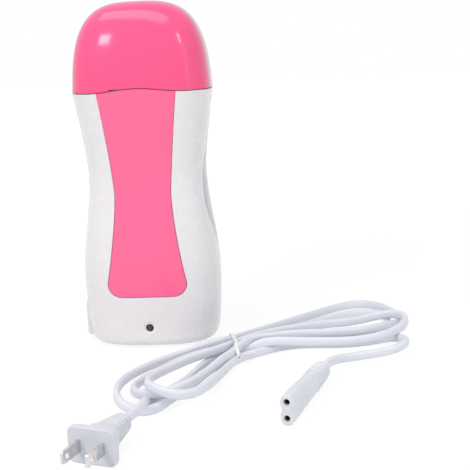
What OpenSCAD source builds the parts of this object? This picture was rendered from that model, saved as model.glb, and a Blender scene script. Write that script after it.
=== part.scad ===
// Roll-on wax heater: an hourglass body with a lift-off cap, a heated chamber for a
// wax cartridge, and its separate two-wire mains cord tied in a hank.
// The front faces -Y, +Z is up, and the origin is under the middle of the body.

/* [Body] */
// Height of the whole heater, from the table to the top of the cap
overall_h = 213; // [200:1:225]
// Height of the seam under the cap
seam_z = 159; // [155:1:164]
// Room beside the chamber, out to the body's surface at the seam
seam_room = 16.8; // [16:0.1:18]
// How much narrower the body is at its waist than at the seam, on each side
waist_in = 6.5; // [3:0.1:6.6]
// Height of the waist
waist_z = 110; // [100:1:116]
// How much wider the body is at its hip than at the seam, on each side
hip_out = -0.1; // [-1:0.1:2]
// Height of the hip
hip_z = 42; // [38:1:48]
// How much narrower the body is at its foot than at the seam, on each side
foot_in = 3.2; // [2:0.1:5]
// Room in front of the chamber, out to the body's surface at the seam
depth_room = 14; // [13:0.1:16]
// How the body widens from its waist to the seam: 1 is straight, 2 is a bow
seam_flare = 1.3; // [1.2:0.1:2]
// Squareness of the sections: 2 is an ellipse
squareness = 3; // [2.8:0.1:3.4]
// Radius of the lower edge
foot_round = 6; // [4:0.5:7]
// Wall of the body shells
wall = 2.6; // [2.2:0.1:2.8]
// Place of the parting line between the shells, behind the middle
parting_y = 9; // [8:0.5:9.5]
// Rise of the seam in the middle of the front and of the back
arch_h = 2.4; // [1:0.2:3]

/* [Cap] */
// Wall of the cap
cap_wall = 2.2; // [1.8:0.1:2.6]
// How much narrower the cap is at its top than at its rim, on each side
cap_taper = 3.7; // [2:0.1:4.2]
// Squareness of the cap's shoulder
cap_shoulder = 3.2; // [2.8:0.1:5]
// Gap between the cap's rim and the body
cap_gap = 0.4; // [0.3:0.1:0.8]
// Clearance between the cap and the spigot it grips
cap_fit = 0.35; // [0.3:0.05:0.6]
// Height of the spigot above the seam
spigot_h = 11; // [8:1:14]

/* [Front panel] */
// Half width of the panel at its narrowest
panel_waist_w = 17.1; // [15:0.1:18.5]
// Half width of the panel at the seam
panel_top_w = 23.8; // [22:0.2:26]
// Half width of the panel near its foot
panel_foot_w = 24.4; // [22:0.2:26]
// Height of the panel's lower edge
panel_foot_z = 34; // [30:1:38]
// Radius of the panel's lower corners
panel_corner = 8; // [5:0.5:10]
// Depth of the recess for the panel
panel_recess = 1.4; // [1.0:0.1:1.6]
// Gap around the panel
panel_gap = 0.3; // [0.2:0.05:0.5]

/* [Level windows] */
// Height of the windows' lower point
window_foot_z = 57; // [50:1:64]
// Height of the windows' upper point
window_top_z = 152; // [145:1:152]
// Reach of the windows in front of the parting line
window_front = 21.5; // [14:0.5:22]
// Reach of the windows behind the parting line
window_back = 12; // [6:0.5:13]
// Thickness of the windows
window_t = 2.2; // [1.6:0.1:2.4]

/* [Cartridge chamber] */
// Width of the cartridge chamber
chamber_w = 52.6; // [50:0.2:54]
// Depth of the cartridge chamber
chamber_d = 35.4; // [32:0.2:36]
// Corner radius of the chamber
chamber_r = 10; // [6:0.5:14]
// Wall of the chamber sleeve
sleeve_t = 1.5; // [1:0.1:1.6]
// Height of the chamber's floor
chamber_floor_z = 44; // [43:0.5:50]

/* [Mains inlet] */
// Height of the inlet's middle
inlet_z = 13.5; // [13.4:0.1:14.4]
// Distance between the two pins
pin_pitch = 8.6; // [8.2:0.1:9]
// Diameter of a pin
pin_d = 2.4; // [2.2:0.1:2.6]
// Radius of each lobe of the connector
connector_r = 3.75; // [3.5:0.05:3.9]
// Depth of the socket
socket_depth = 12.5; // [10:0.5:13]
// How far the inlet's face stands out beyond the body's width at the seam
inlet_out = 1.1; // [1:0.1:2]

/* [Indicator] */
// Height of the indicator
led_z = 13.8; // [13:0.2:16]
// Diameter of the indicator
led_d = 4.8; // [3:0.1:5]

/* [Cord] */
// Width of the flat cord, which lies on its edge
cord_w = 5.4; // [4:0.1:6]
// Thickness of the flat cord
cord_t = 4; // [3:0.1:4.4]
// Width of the plug's face
plug_w = 25; // [22:0.5:28]
// Height of the plug's face
plug_h = 18.2; // [15:0.2:20]
// Distance between the blades
blade_pitch = 12.7; // [12.5:0.1:12.9]
// Length of the blades in front of the plug
blade_l = 15.2; // [15:0.2:18]
// Length of the connector with its relief
connector_l = 63; // [50:1:66]

/* [Hidden] */

white = [0.93, 0.93, 0.95];
pink = [0.98, 0.42, 0.6];
smoke = [0.66, 0.68, 0.76, 0.7];
steel = [0.72, 0.72, 0.74];

base_z = 1;               // the shells' lower rim, above the table
seam_w = chamber_w / 2 + seam_room;     // half widths of the body, from the top down
depth_ratio = (chamber_d / 2 + depth_room) / seam_w;    // depth of every section over its width
waist_w = seam_w - waist_in;
hip_w = seam_w + hip_out;
foot_w = seam_w - foot_in;
inlet_face = seam_w + inlet_out;
seg = 64;                 // sides of a body section
fit = 0.15;               // clearance between parts that are pressed together
contact = 0.05;           // gap between parts that touch
fine = 48;                // $fn of the round parts

// ---- sections and surfaces ----

function blend01(u) = (1 + cos(180 * u)) / 2;

// half width of the body at height z, before its lower edge is rounded
function half_w(z) =
    z <= hip_z ? hip_w - (hip_w - foot_w) * pow((hip_z - z) / hip_z, 2)
    : z <= waist_z ? waist_w + (hip_w - waist_w) * blend01((z - hip_z) / (waist_z - hip_z))
    : waist_w + (seam_w - waist_w) * pow((z - waist_z) / (seam_z - waist_z), seam_flare);

function edge_in(z) = z >= base_z + foot_round ? 0
    : foot_round - sqrt(max(0, pow(foot_round, 2) - pow(foot_round - (z - base_z), 2)));

function out_w(z) = half_w(z) - edge_in(z);
function out_d(z) = depth_ratio * half_w(z) - edge_in(z);

// a point of a squared oval, at angle t
function lobe(t, n) = [sign(cos(t)) * pow(abs(cos(t)), 2 / n), sign(sin(t)) * pow(abs(sin(t)), 2 / n)];
function oval(w, d, n = squareness, m = seg) =
    [for (i = [0 : m - 1]) let (p = lobe(360 * (i + 0.5) / m, n)) [w * p[0], d * p[1]]];

// how far the body reaches in front at x, and sideways at y, less an inset
function front_at(x, z, inset = 0) = (out_d(z) - inset)
    * pow(max(0, 1 - pow(abs(x) / (out_w(z) - inset), squareness)), 1 / squareness);
function side_at(y, z, inset = 0) = (out_w(z) - inset)
    * pow(max(0, 1 - pow(abs(y) / (out_d(z) - inset), squareness)), 1 / squareness);

arch_w = 31;              // half width of the seam's arch
function seam_at(x) = seam_z + (abs(x) < arch_w ? arch_h * blend01(x / arch_w) : 0);

// triangles of a skin through rings of m points; a tube's last ring joins its first
function skin_faces(rings, m, tube) = [for (k = [0 : rings - (tube ? 1 : 2)]) for (i = [0 : m - 1])
    let (j = (i + 1) % m, a = k * m, b = ((k + 1) % rings) * m)
    each [[a + i, b + i, b + j], [a + i, b + j, a + j]]];

function join_lists(lists) = [for (part = lists) each part];

// a closed wall from a list of rings that goes up outside and down inside
module ring_wall(rings) {
    polyhedron(join_lists(rings), skin_faces(len(rings), len(rings[0]), true));
}

// a solid from a stack of rings, with flat ends
module ring_solid(rings) {
    m = len(rings[0]);
    n = len(rings);
    polyhedron(join_lists(rings), concat([[for (i = [0 : m - 1]) i]],
        skin_faces(n, m, false), [[for (i = [m - 1 : -1 : 0]) (n - 1) * m + i]]));
}

// a curved sheet from two grids of points, an outer one and an inner one
module sheet_solid(outer, inner) {
    rows = len(outer);
    cols = len(outer[0]);
    half = rows * cols;
    function at(r, c) = r * cols + c;
    function strip(a, b, c, d) = [[a, b, c], [a, c, d]];
    polyhedron(concat(join_lists(outer), join_lists(inner)), concat(
        [for (r = [0 : rows - 2]) for (c = [0 : cols - 2]) each concat(
            strip(at(r, c), at(r + 1, c), at(r + 1, c + 1), at(r, c + 1)),
            strip(half + at(r, c), half + at(r, c + 1), half + at(r + 1, c + 1), half + at(r + 1, c)))],
        [for (r = [0 : rows - 2]) each concat(
            strip(at(r, 0), half + at(r, 0), half + at(r + 1, 0), at(r + 1, 0)),
            strip(at(r, cols - 1), at(r + 1, cols - 1), half + at(r + 1, cols - 1), half + at(r, cols - 1)))],
        [for (c = [0 : cols - 2]) each concat(
            strip(at(0, c), at(0, c + 1), half + at(0, c + 1), half + at(0, c)),
            strip(at(rows - 1, c), half + at(rows - 1, c), half + at(rows - 1, c + 1), at(rows - 1, c + 1)))]));
}

function unit(v) = v / norm(v);

// a swept tube with an oval section: up_dir sets where its thickness points
module swept(route, w, t, up_dir = [0, 0, 1], sides = 8) {
    n = len(route);
    rings = [for (k = [0 : n - 1])
        let (along = unit(route[min(k + 1, n - 1)] - route[max(k - 1, 0)]),
            across = unit(cross(up_dir, along)), up = cross(along, across))
        [for (i = [0 : sides - 1]) let (a = 360 * (i + 0.5) / sides)
            route[k] + across * (w / 2 * cos(a)) + up * (t / 2 * sin(a))]];
    ring_solid([for (k = [n - 1 : -1 : 0]) rings[k]]);
}

// a rectangle with round corners, as a flat outline
function round_rect(w, d, r, steps = 6) = [for (q = [0 : 3]) for (i = [0 : steps])
    let (a = 90 * (q + i / steps), sx = (q == 0 || q == 3) ? 1 : -1, sy = q < 2 ? 1 : -1)
    [sx * (w / 2 - r) + r * cos(a), sy * (d / 2 - r) + r * sin(a)]];

module both_sides() {
    children();
    mirror([1, 0, 0]) children();
}

// a screw along +Z: its head's underside at 0, its shank below
module screw(shank_r, head_r, head_t, length) {
    difference() {
        union() {
            cylinder(h = head_t, r = head_r, $fn = fine);
            translate([0, 0, -length]) cylinder(h = length, r = shank_r, $fn = fine);
        }
        for (turn = [0, 90]) rotate(turn)
            translate([-head_r * 0.6, -head_r * 0.14, head_t * 0.5])
                cube([head_r * 1.2, head_r * 0.28, head_t]);
    }
}

// ---- places that several parts share ----

front_steps = 22;         // rings of the shells' outer skin
lip_w = out_w(base_z) - 1.3;
lip_d = out_d(base_z) - 1.3;
lip_z = base_z + 2.7;     // top of the lip that holds the base cover

split_gap = 0.1;          // gap between the shells
rear_y = parting_y + split_gap;

boss_r = 3.4;
pilot_r = 1.3;
head_r = 2.6;
head_t = 1.8;

plate_z = seam_z - 5.2;   // underside of the collar's plate
plate_top = plate_z + 3.2;
spigot_z = seam_z + spigot_h;
collar_w = min(out_w(plate_z) - wall, cap_w(spigot_z) - cap_wall) - cap_fit;
collar_d = min(out_d(plate_z) - wall, cap_d(spigot_z) - cap_wall) - cap_fit;
spigot_t = 1.8;

sleeve_w = chamber_w + 2 * sleeve_t;
sleeve_d = chamber_d + 2 * sleeve_t;
sleeve_r = chamber_r + sleeve_t;
sleeve_foot = chamber_floor_z + 0.8;
sleeve_top = plate_z - 0.3;

skirt_gap = 0.25;         // gap between the sleeve and the collar's skirt
skirt_t = 1.7;
skirt_w = sleeve_w / 2 + skirt_gap + skirt_t;
skirt_d = sleeve_d / 2 + skirt_gap + skirt_t;
skirt_r = sleeve_r + skirt_gap + skirt_t;

// the skirt's outside and the spigot's inside at y, and the middle between them, where the screws go
function skirt_x(y) = let (over = max(0, abs(y) - (skirt_d - skirt_r)))
    skirt_w - skirt_r + sqrt(pow(skirt_r, 2) - pow(over, 2));
function spigot_x(y) = (collar_w - spigot_t)
    * pow(1 - pow(abs(y) / (collar_d - spigot_t), squareness), 1 / squareness);
function between_x(y) = (skirt_x(y) + spigot_x(y)) / 2;

collar_front = [between_x(-8), -8];
collar_back = [between_x(15), 15];
collar_boss_r = 2.7;
collar_boss_l = 13.5;

casing_at = [27, chamber_floor_z - 10];
casing_head_y = rear_y + 4;
casing_boss_r = 3.6;

base_front = [lip_w - 8, -13];
base_back = [lip_w - 8, 13.5];
base_boss_z = lip_z + 0.1;
base_boss_l = 15;

foot_at = [14, 16];
foot_r = 4.2;

board_y = -(out_d(led_z) - wall - 6.6);   // front face of the circuit board
board_t = 1.6;
board_w = 30;
board_foot = led_z - 7.5;
board_h = 21;
board_post = [10.5, led_z + 8.5];

inlet_w = 10.5;           // inlet body across its lobes
inlet_h = pin_pitch + 2 * connector_r + 1.8;
inlet_flange = 2;
inlet_ear = 1.2;          // reach of the flange on each side
inlet_wall = 2.6;
inlet_back = inlet_face - socket_depth - 2;
pin_back = inlet_back - 3;
pin_root_r = pin_d / 2 + 0.4;
pin_root = inlet_face - socket_depth + 0.1;   // where the pin's root begins, 0.1 proud of the socket's floor

function window_reach(z) = let (u = (z - window_foot_z) / (window_top_z - window_foot_z))
    sin(180 * pow(min(max(u, 0), 1), 0.7));
function window_front_y(z) = parting_y - window_front * window_reach(z);
function window_back_y(z) = parting_y + window_back * window_reach(z);

// ---- body ----

function body_ring(part, inset) = [for (i = [0 : seg - 1])
    let (p = lobe(360 * (i + 0.5) / seg, squareness), top = seam_at(seam_w * p[0]),
        z = base_z + (top - base_z) * part)
    [(out_w(z) - inset) * p[0], (out_d(z) - inset) * p[1], z]];

function lip_ring(z) = [for (p = oval(lip_w, lip_d)) [p[0], p[1], z]];

// ring heights as shares of the wall, closer together round the lower edge
outer_parts = concat([0, 0.4, 1, 2, 3.5] / (seam_z - base_z),
    [for (k = [0 : front_steps - 4]) let (a = foot_round / (seam_z - base_z))
        a + (1 - a) * k / (front_steps - 4)]);
inner_parts = [for (k = [14 : -1 : 0]) let (a = (lip_z - base_z) / (seam_z - base_z))
    a + (1 - a) * k / 14];

module body_wall() {
    ring_wall(concat([for (u = outer_parts) body_ring(u, 0)],
        [for (u = inner_parts) body_ring(u, wall)], [lip_ring(lip_z), lip_ring(base_z)]));
}

module window_opening() {
    rows = 24;
    heights = [for (k = [0 : rows]) window_foot_z + (window_top_z - window_foot_z) * k / rows];
    translate([-hip_w - 5, 0, 0]) rotate([90, 0, 90]) linear_extrude(2 * hip_w + 10)
        polygon(concat([for (z = heights) [window_front_y(z), z]],
            [for (k = [rows - 1 : -1 : 1]) [window_back_y(heights[k]), heights[k]]]));
}

function window_grid(side, inset) = [for (k = [1 : 23])
    let (z = window_foot_z + (window_top_z - window_foot_z) * k / 24)
    [for (c = [0 : 8]) let (a = window_front_y(z) + fit, b = window_back_y(z) - fit,
        y = a + (b - a) * c / 8) [side * side_at(y, z, inset), y, z]]];

module level_window(side) {
    outer = window_grid(side, 0);
    inner = window_grid(side, window_t);
    color(smoke)
        if (side > 0) sheet_solid(outer, inner); else sheet_solid(inner, outer);
}

// half width of the panel at height z, with its round lower corners
function panel_w(z) =
    let (waist = panel_foot_z + 62,
        w = z > waist ? panel_waist_w + (panel_top_w - panel_waist_w)
                * pow((z - waist) / (seam_z - waist), 1.25)
            : panel_waist_w + (panel_foot_w - panel_waist_w) * pow((waist - z)
                / (waist - panel_foot_z - panel_corner), 1.5),
        up = z - panel_foot_z)
    up >= panel_corner ? w
        : panel_foot_w - panel_corner + sqrt(max(0, pow(panel_corner, 2) - pow(panel_corner - up, 2)));

panel_parts = concat([0, 0.06, 0.2, 0.45, 0.8, 1.25, 2] * panel_corner / 2,
    [for (k = [1 : 20]) panel_corner + (seam_z - panel_foot_z - panel_corner) * k / 20]);

// rows of points on the panel; grow widens it and depth sinks it
function panel_grid(grow, depth) = [for (up = panel_parts)
    [for (c = [0 : 12]) let (s = c / 6 - 1, z0 = panel_foot_z + up,
        x = s * (panel_w(z0) + grow), share = up / (seam_z - panel_foot_z),
        low = panel_foot_z - grow, z = low + (seam_at(x) + (grow > 0 ? 2 : 0) - low) * share)
        [x, -(front_at(x, min(z, seam_at(x))) - depth), z]]];

module front_panel() {
    color(pink) sheet_solid(panel_grid(0, -0.15), panel_grid(0, panel_recess - contact));
}

module panel_pocket() {
    sheet_solid(panel_grid(panel_gap, -4), panel_grid(panel_gap, panel_recess));
}

// block around the mains inlet, with a slanted top
module inlet_block() {
    foot = inlet_z - inlet_h / 2 - 0.9;
    top = inlet_z + inlet_h / 2 + 0.9;
    translate([0, 8, 0]) rotate([90, 0, 0]) linear_extrude(16)
        polygon([[-inlet_face, foot + 1.2], [-inlet_face + 1.2, foot], [-33.5, foot], [-33.5, top],
            [-40, top + 2], [-41.4, top + 10], [-inlet_face, top]]);
}

module inlet_pocket() {
    h = inlet_h + 2 * fit;
    w = inlet_w + 2 * fit;
    translate([-inlet_face - 1, -w / 2, inlet_z - h / 2]) cube([20, w, h]);
    translate([-inlet_face + inlet_wall, -w / 2 - inlet_ear, inlet_z - h / 2])
        cube([20, w + 2 * inlet_ear, h]);
}

module vertical_boss(at, foot, length, r = boss_r) {
    translate([at[0], at[1], foot]) cylinder(h = length, r = r, $fn = fine);
}

module front_shell() {
    color(white) difference() {
        union() {
            difference() {
                body_wall();
                translate([-60, parting_y, -5]) cube([120, 60, seam_z + 20]);
                panel_pocket();
                window_opening();
            }
            inlet_block();
            both_sides() {
                vertical_boss(collar_front, plate_z - collar_boss_l, collar_boss_l, collar_boss_r);
                vertical_boss(base_front, base_boss_z, base_boss_l);
                translate([base_front[0] - 1, -front_at(base_front[0], 8) + 1.2, base_boss_z])
                    cube([2, front_at(base_front[0], 8) + base_front[1] - 2, base_boss_l]);
                translate([casing_at[0], -front_at(casing_at[0], casing_at[1]) + 1.3, casing_at[1]])
                    rotate([-90, 0, 0])
                        cylinder(h = front_at(casing_at[0], casing_at[1]) - 1.3 + parting_y,
                            r = casing_boss_r, $fn = fine);
                translate([board_post[0], board_y, board_post[1]]) rotate([90, 0, 0])
                    cylinder(h = front_at(board_post[0], board_post[1]) - 1.3 + board_y,
                        r = 2.4, $fn = fine);
            }
        }
        inlet_pocket();
        translate([0, 0, led_z]) rotate([90, 0, 0]) {
            cylinder(h = 60, r = led_d / 2 + 0.1, $fn = fine);
            translate([0, 0, front_at(0, led_z) - 0.5]) cylinder(h = 5, r = led_d / 2 + 1.5, $fn = fine);
        }
        both_sides() {
            translate([collar_front[0], collar_front[1], plate_z - 11]) cylinder(h = 20, r = pilot_r, $fn = fine);
            translate([base_front[0], base_front[1], 0]) cylinder(h = 14, r = pilot_r, $fn = fine);
            translate([casing_at[0], casing_head_y - 17, casing_at[1]]) rotate([-90, 0, 0])
                cylinder(h = 30, r = pilot_r, $fn = fine);
            translate([board_post[0], board_y + 1, board_post[1]]) rotate([90, 0, 0])
                cylinder(h = 5.5, r = 0.9, $fn = fine);
        }
    }
}

module rear_shell() {
    color(white) difference() {
        union() {
            difference() {
                body_wall();
                translate([-60, rear_y - 60, -5]) cube([120, 60, seam_z + 20]);
                window_opening();
            }
            both_sides() {
                vertical_boss(collar_back, plate_z - collar_boss_l, collar_boss_l, collar_boss_r);
                translate([collar_back[0], collar_back[1] - 0.8, plate_z - collar_boss_l])
                    cube([side_at(collar_back[1], plate_z - collar_boss_l) - collar_back[0] - 1.3,
                        1.6, collar_boss_l]);
                vertical_boss(base_back, base_boss_z, base_boss_l);
                translate([base_back[0], base_back[1] - 1, base_boss_z])
                    cube([side_at(base_back[1], 8) - base_back[0] - 1.2, 2, base_boss_l]);
                translate([casing_at[0], rear_y, casing_at[1]]) rotate([-90, 0, 0])
                    cylinder(h = front_at(casing_at[0], casing_at[1]) - 1.5 - rear_y,
                        r = casing_boss_r + 0.8, $fn = fine);
            }
        }
        both_sides() {
            translate([collar_back[0], collar_back[1], plate_z - 11]) cylinder(h = 20, r = pilot_r, $fn = fine);
            translate([base_back[0], base_back[1], 0]) cylinder(h = 14, r = pilot_r, $fn = fine);
            translate([casing_at[0], rear_y - 5, casing_at[1]]) rotate([-90, 0, 0])
                cylinder(h = 30, r = pilot_r, $fn = fine);
            translate([casing_at[0], casing_head_y, casing_at[1]]) rotate([-90, 0, 0])
                cylinder(h = 30, r = head_r + 0.3, $fn = fine);
        }
    }
}

module casing_screws() {
    color(steel) both_sides() translate([casing_at[0], casing_head_y, casing_at[1]])
        rotate([-90, 0, 0]) screw(pilot_r, head_r, head_t, 16);
}

// ---- cap ----

function cap_part(z) = min(1, (z - seam_z) / (overall_h - seam_z));
function cap_w(z) = let (t = cap_part(z))
    (seam_w - 0.1 - cap_taper * t) * pow(max(0, 1 - pow(t, cap_shoulder)), 1 / cap_shoulder);
function cap_d(z) = let (t = cap_part(z))
    (depth_ratio * (seam_w - 0.1) - cap_taper * t) * pow(max(0, 1 - pow(t, cap_shoulder)), 1 / cap_shoulder);

// share of the cap's height and of its width at step u of its profile
cap_rows = 16;
function cap_step(u) = lobe(90 * u, cap_shoulder);

function cap_ring(u, inset) = let (q = cap_step(u), h = overall_h - seam_z - inset)
    [for (i = [0 : seg - 1]) let (p = lobe(360 * (i + 0.5) / seg, squareness), share = q[1],
        rim = seam_at(seam_w * p[0]) + cap_gap, top = seam_z + h,
        w = (seam_w - 0.1 - inset - cap_taper * share) * q[0],
        d = (depth_ratio * (seam_w - 0.1) - inset - cap_taper * share) * q[0])
        [w * p[0], d * p[1], rim + (top - rim) * share]];

module cap() {
    slit_w = 6;
    color(pink) difference() {
        polyhedron(
            concat(join_lists([for (k = [0 : cap_rows]) cap_ring(0.985 * k / cap_rows, 0)]),
                join_lists([for (k = [10 : -1 : 0]) cap_ring(0.985 * k / 10, cap_wall)]),
                [[0, 0, overall_h], [0, 0, overall_h - cap_wall]]),
            let (m = seg, outer = cap_rows + 1, inner = 11, crown = (outer + inner) * m)
            concat(skin_faces(outer, m, false),
                [for (f = skin_faces(inner, m, false)) [f[0] + outer * m, f[1] + outer * m, f[2] + outer * m]],
                [for (i = [0 : m - 1]) let (j = (i + 1) % m, a = (outer - 1) * m)
                    [a + i, crown, a + j]],
                [for (i = [0 : m - 1]) let (j = (i + 1) % m, a = outer * m)
                    [a + j, crown + 1, a + i]],
                [for (i = [0 : m - 1]) let (j = (i + 1) % m, a = (outer + inner - 1) * m)
                    each [[i, j, a + j], [i, a + j, a + i]]]));
        translate([-13 - slit_w / 2, -60, seam_z]) cube([slit_w, 60, arch_h + 0.2]);
    }
}

// ---- collar and chamber ----

module neck_collar() {
    color(white) difference() {
        union() {
            difference() {
                translate([0, 0, plate_z]) linear_extrude(spigot_z - plate_z)
                    polygon(oval(collar_w, collar_d));
                translate([0, 0, plate_top]) linear_extrude(40)
                    polygon(oval(collar_w - spigot_t, collar_d - spigot_t));
            }
            translate([0, 0, plate_z - 8]) linear_extrude(plate_top + 4 - plate_z + 8)
                polygon(round_rect(2 * skirt_w, 2 * skirt_d, skirt_r));
        }
        translate([0, 0, plate_z - 10]) linear_extrude(60)
            polygon(round_rect(chamber_w, chamber_d, chamber_r));
        translate([0, 0, plate_z - 20]) linear_extrude(20)
            polygon(round_rect(sleeve_w + 2 * skirt_gap, sleeve_d + 2 * skirt_gap, sleeve_r + skirt_gap));
        both_sides() for (at = [collar_front, collar_back])
            translate([at[0], at[1], plate_z - 1]) cylinder(h = 8, r = pilot_r, $fn = fine);
    }
}

module collar_screws() {
    color(steel) both_sides() for (at = [collar_front, collar_back])
        translate([at[0], at[1], plate_top]) screw(pilot_r, head_r, head_t, 13.5);
}

clamp_z = chamber_floor_z + 61;
clamp_screw_x = 14.8;

module heating_chamber() {
    side_open = 16;
    color([0.8, 0.8, 0.82]) difference() {
        translate([0, 0, sleeve_foot]) linear_extrude(sleeve_top - sleeve_foot)
            polygon(round_rect(sleeve_w, sleeve_d, sleeve_r));
        translate([0, 0, sleeve_foot - 1]) linear_extrude(200)
            polygon(round_rect(chamber_w, chamber_d, chamber_r));
        translate([-60, -side_open / 2, window_foot_z + 10])
            cube([120, side_open, window_top_z - window_foot_z - 24]);
        both_sides() translate([clamp_screw_x, 0, clamp_z]) rotate([-90, 0, 0])
            cylinder(h = 40, r = 1, $fn = fine);
    }
}

module chamber_seat() {
    rim = 1.6;
    foot = casing_at[1] + casing_boss_r + 0.8 + contact;
    color([0.86, 0.86, 0.88]) difference() {
        translate([0, 0, foot]) linear_extrude(sleeve_foot + 4 - foot)
            polygon(round_rect(sleeve_w + 0.4 + 2 * rim, sleeve_d + 0.4 + 2 * rim, sleeve_r + 0.2 + rim));
        translate([0, 0, sleeve_foot]) linear_extrude(20)
            polygon(round_rect(sleeve_w + 0.4, sleeve_d + 0.4, sleeve_r + 0.2));
        translate([0, 0, chamber_floor_z]) linear_extrude(20)
            polygon(round_rect(chamber_w, chamber_d, chamber_r));
        translate([0, 0, foot - 1]) cylinder(h = 20, r = 8, $fn = fine);
    }
}

// ---- heating parts, on the back of the sleeve ----

heater_y = sleeve_d / 2 + contact;
heater_t = 3.2;
heater_w = 20;
heater_h = 60;
heater_foot = clamp_z - heater_h / 2;
film_t = 0.3;
clamp_t = 0.8;

module ptc_heater() {
    color([0.55, 0.42, 0.2]) translate([-heater_w / 2, heater_y, heater_foot])
        cube([heater_w, heater_t, heater_h]);
}

module insulation_sheet() {
    color([0.9, 0.8, 0.55]) translate([-heater_w / 2 - 1, heater_y + heater_t, heater_foot - 2])
        cube([heater_w + 2, film_t, heater_h + 4]);
}

module heater_clamp() {
    top = heater_y + heater_t + film_t;
    out = heater_w / 2 + 1.4;
    half = [[out, top], [out, heater_y], [out + 6.4, heater_y], [out + 6.4, heater_y + clamp_t],
        [out + clamp_t, heater_y + clamp_t], [out + clamp_t, top + clamp_t]];
    color(steel) difference() {
        translate([0, 0, clamp_z - 5]) linear_extrude(10)
            polygon(concat(half, [for (k = [5 : -1 : 0]) [-half[k][0], half[k][1]]]));
        both_sides() translate([clamp_screw_x, 0, clamp_z]) rotate([-90, 0, 0])
            cylinder(h = 40, r = 1, $fn = fine);
    }
}

module chamber_screws() {
    color(steel) both_sides() translate([clamp_screw_x, heater_y + clamp_t, clamp_z])
        rotate([-90, 0, 0]) screw(1, 1.7, 1.1, clamp_t + sleeve_t);
}

module thermostat() {
    color([0.2, 0.2, 0.22]) translate([-4, -heater_y - 4, clamp_z - 24]) cube([8, 4, 20]);
}

fuse_r = 2;
fuse_x = -heater_w / 2 - 3.4;
fuse_y = heater_y + fuse_r;
fuse_foot = heater_foot + 6;

module thermal_fuse() {
    color([0.85, 0.85, 0.8]) translate([fuse_x, fuse_y, fuse_foot]) {
        cylinder(h = 12, r = fuse_r, $fn = fine);
        translate([0, 0, -5]) cylinder(h = 5, r = 0.5, $fn = fine);
        translate([0, 0, 12]) cylinder(h = 4, r = 0.5, $fn = fine);
    }
}

// ---- board, indicator and inlet ----

module circuit_board() {
    color([0.1, 0.45, 0.25]) difference() {
        translate([-board_w / 2, board_y, board_foot]) cube([board_w, board_t, board_h]);
        both_sides() translate([board_post[0], board_y - 1, board_post[1]]) rotate([-90, 0, 0])
            cylinder(h = 5, r = 0.9, $fn = fine);
    }
}

module board_resistor() {
    back = board_y + board_t;
    color([0.75, 0.6, 0.4]) {
        translate([-5, back + 1.2, led_z + 3]) rotate([0, 90, 0]) cylinder(h = 10, r = 1.2, $fn = fine);
        translate([-4, back + 1, led_z - 3]) rotate([0, 90, 0]) cylinder(h = 6, r = 1, $fn = fine);
    }
}

module board_screws() {
    color(steel) both_sides() translate([board_post[0], board_y + board_t, board_post[1]])
        rotate([-90, 0, 0]) screw(0.9, 1.7, 1.2, board_t + 4.5);
}

module indicator_led() {
    r = led_d / 2;
    tip = front_at(0, led_z) - 0.9;
    color([0.3, 0.2, 0.16]) translate([0, 0, led_z]) rotate([90, 0, 0]) {
        translate([0, 0, -board_y]) cylinder(h = tip - r + board_y, r = r, $fn = fine);
        intersection() {
            translate([0, 0, tip - r]) sphere(r = r, $fn = fine);
            translate([-r, -r, tip - r]) cube([2 * r, 2 * r, r]);
        }
    }
}

module power_inlet() {
    r = connector_r + 0.2;
    color(white) difference() {
        union() {
            translate([-inlet_face, -inlet_w / 2, inlet_z - inlet_h / 2])
                cube([inlet_face - inlet_back, inlet_w, inlet_h]);
            translate([-inlet_face + inlet_wall + contact, -inlet_w / 2 - inlet_ear, inlet_z - inlet_h / 2])
                cube([inlet_flange, inlet_w + 2 * inlet_ear, inlet_h]);
        }
        translate([-inlet_face - 1, 0, inlet_z]) rotate([0, 90, 0]) {
            for (side = [-1, 1]) translate([side * pin_pitch / 2, 0, 0]) {
                cylinder(h = socket_depth + 1, r = r, $fn = fine);
                cylinder(h = 40, r = pin_root_r, $fn = fine);
            }
            translate([-pin_pitch / 2, -r * 0.84, 0]) cube([pin_pitch, r * 1.68, socket_depth + 1]);
        }
    }
}

module inlet_pins() {
    tip = 1.8;
    color(steel) for (side = [-1, 1]) translate([-inlet_face + tip, 0, inlet_z + side * pin_pitch / 2])
        rotate([0, 90, 0]) {
            cylinder(h = pin_d / 4, r1 = pin_d / 3, r2 = pin_d / 2, $fn = fine);
            translate([0, 0, pin_d / 4])
                cylinder(h = inlet_face - tip - pin_d / 4 - pin_root, r = pin_d / 2, $fn = fine);
            translate([0, 0, inlet_face - tip - pin_root]) cylinder(h = pin_root - pin_back, r = pin_root_r, $fn = fine);
        }
}

// ---- wires inside ----

wire_d = 1.8;
board_back = board_y + board_t;

module wire(route, tone) {
    color(tone) swept(route, wire_d, wire_d, [0.31, 0.05, 0.95]);
}

rise_y = sleeve_d / 2 + 4;       // where the wires climb behind the sleeve's seat

module live_wire() {
    wire([[-pin_back + contact, 0, inlet_z + pin_pitch / 2], [-pin_back + 2, 0, inlet_z + pin_pitch / 2],
        [-20, 4, inlet_z + 8], [fuse_x - 3, 14, 27], [fuse_x - 2, rise_y - 2, 33],
        [fuse_x - 1, rise_y, 40], [fuse_x, fuse_y + 3, 52], [fuse_x, fuse_y + 1.4, 66],
        [fuse_x, fuse_y, fuse_foot - 12], [fuse_x, fuse_y, fuse_foot - 5]], [0.75, 0.1, 0.1]);
}

module neutral_wire() {
    wire([[-pin_back + contact, 0, inlet_z - pin_pitch / 2], [-pin_back + 2, 0, inlet_z - pin_pitch / 2],
        [-19, -4, 9.2], [-14, -10, 9.4], [-10, board_back + 4.5, 9.8], [-8.5, board_back + 1.6, 10],
        [-8.5, board_back + contact, 10]], [0.15, 0.25, 0.7]);
}

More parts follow.
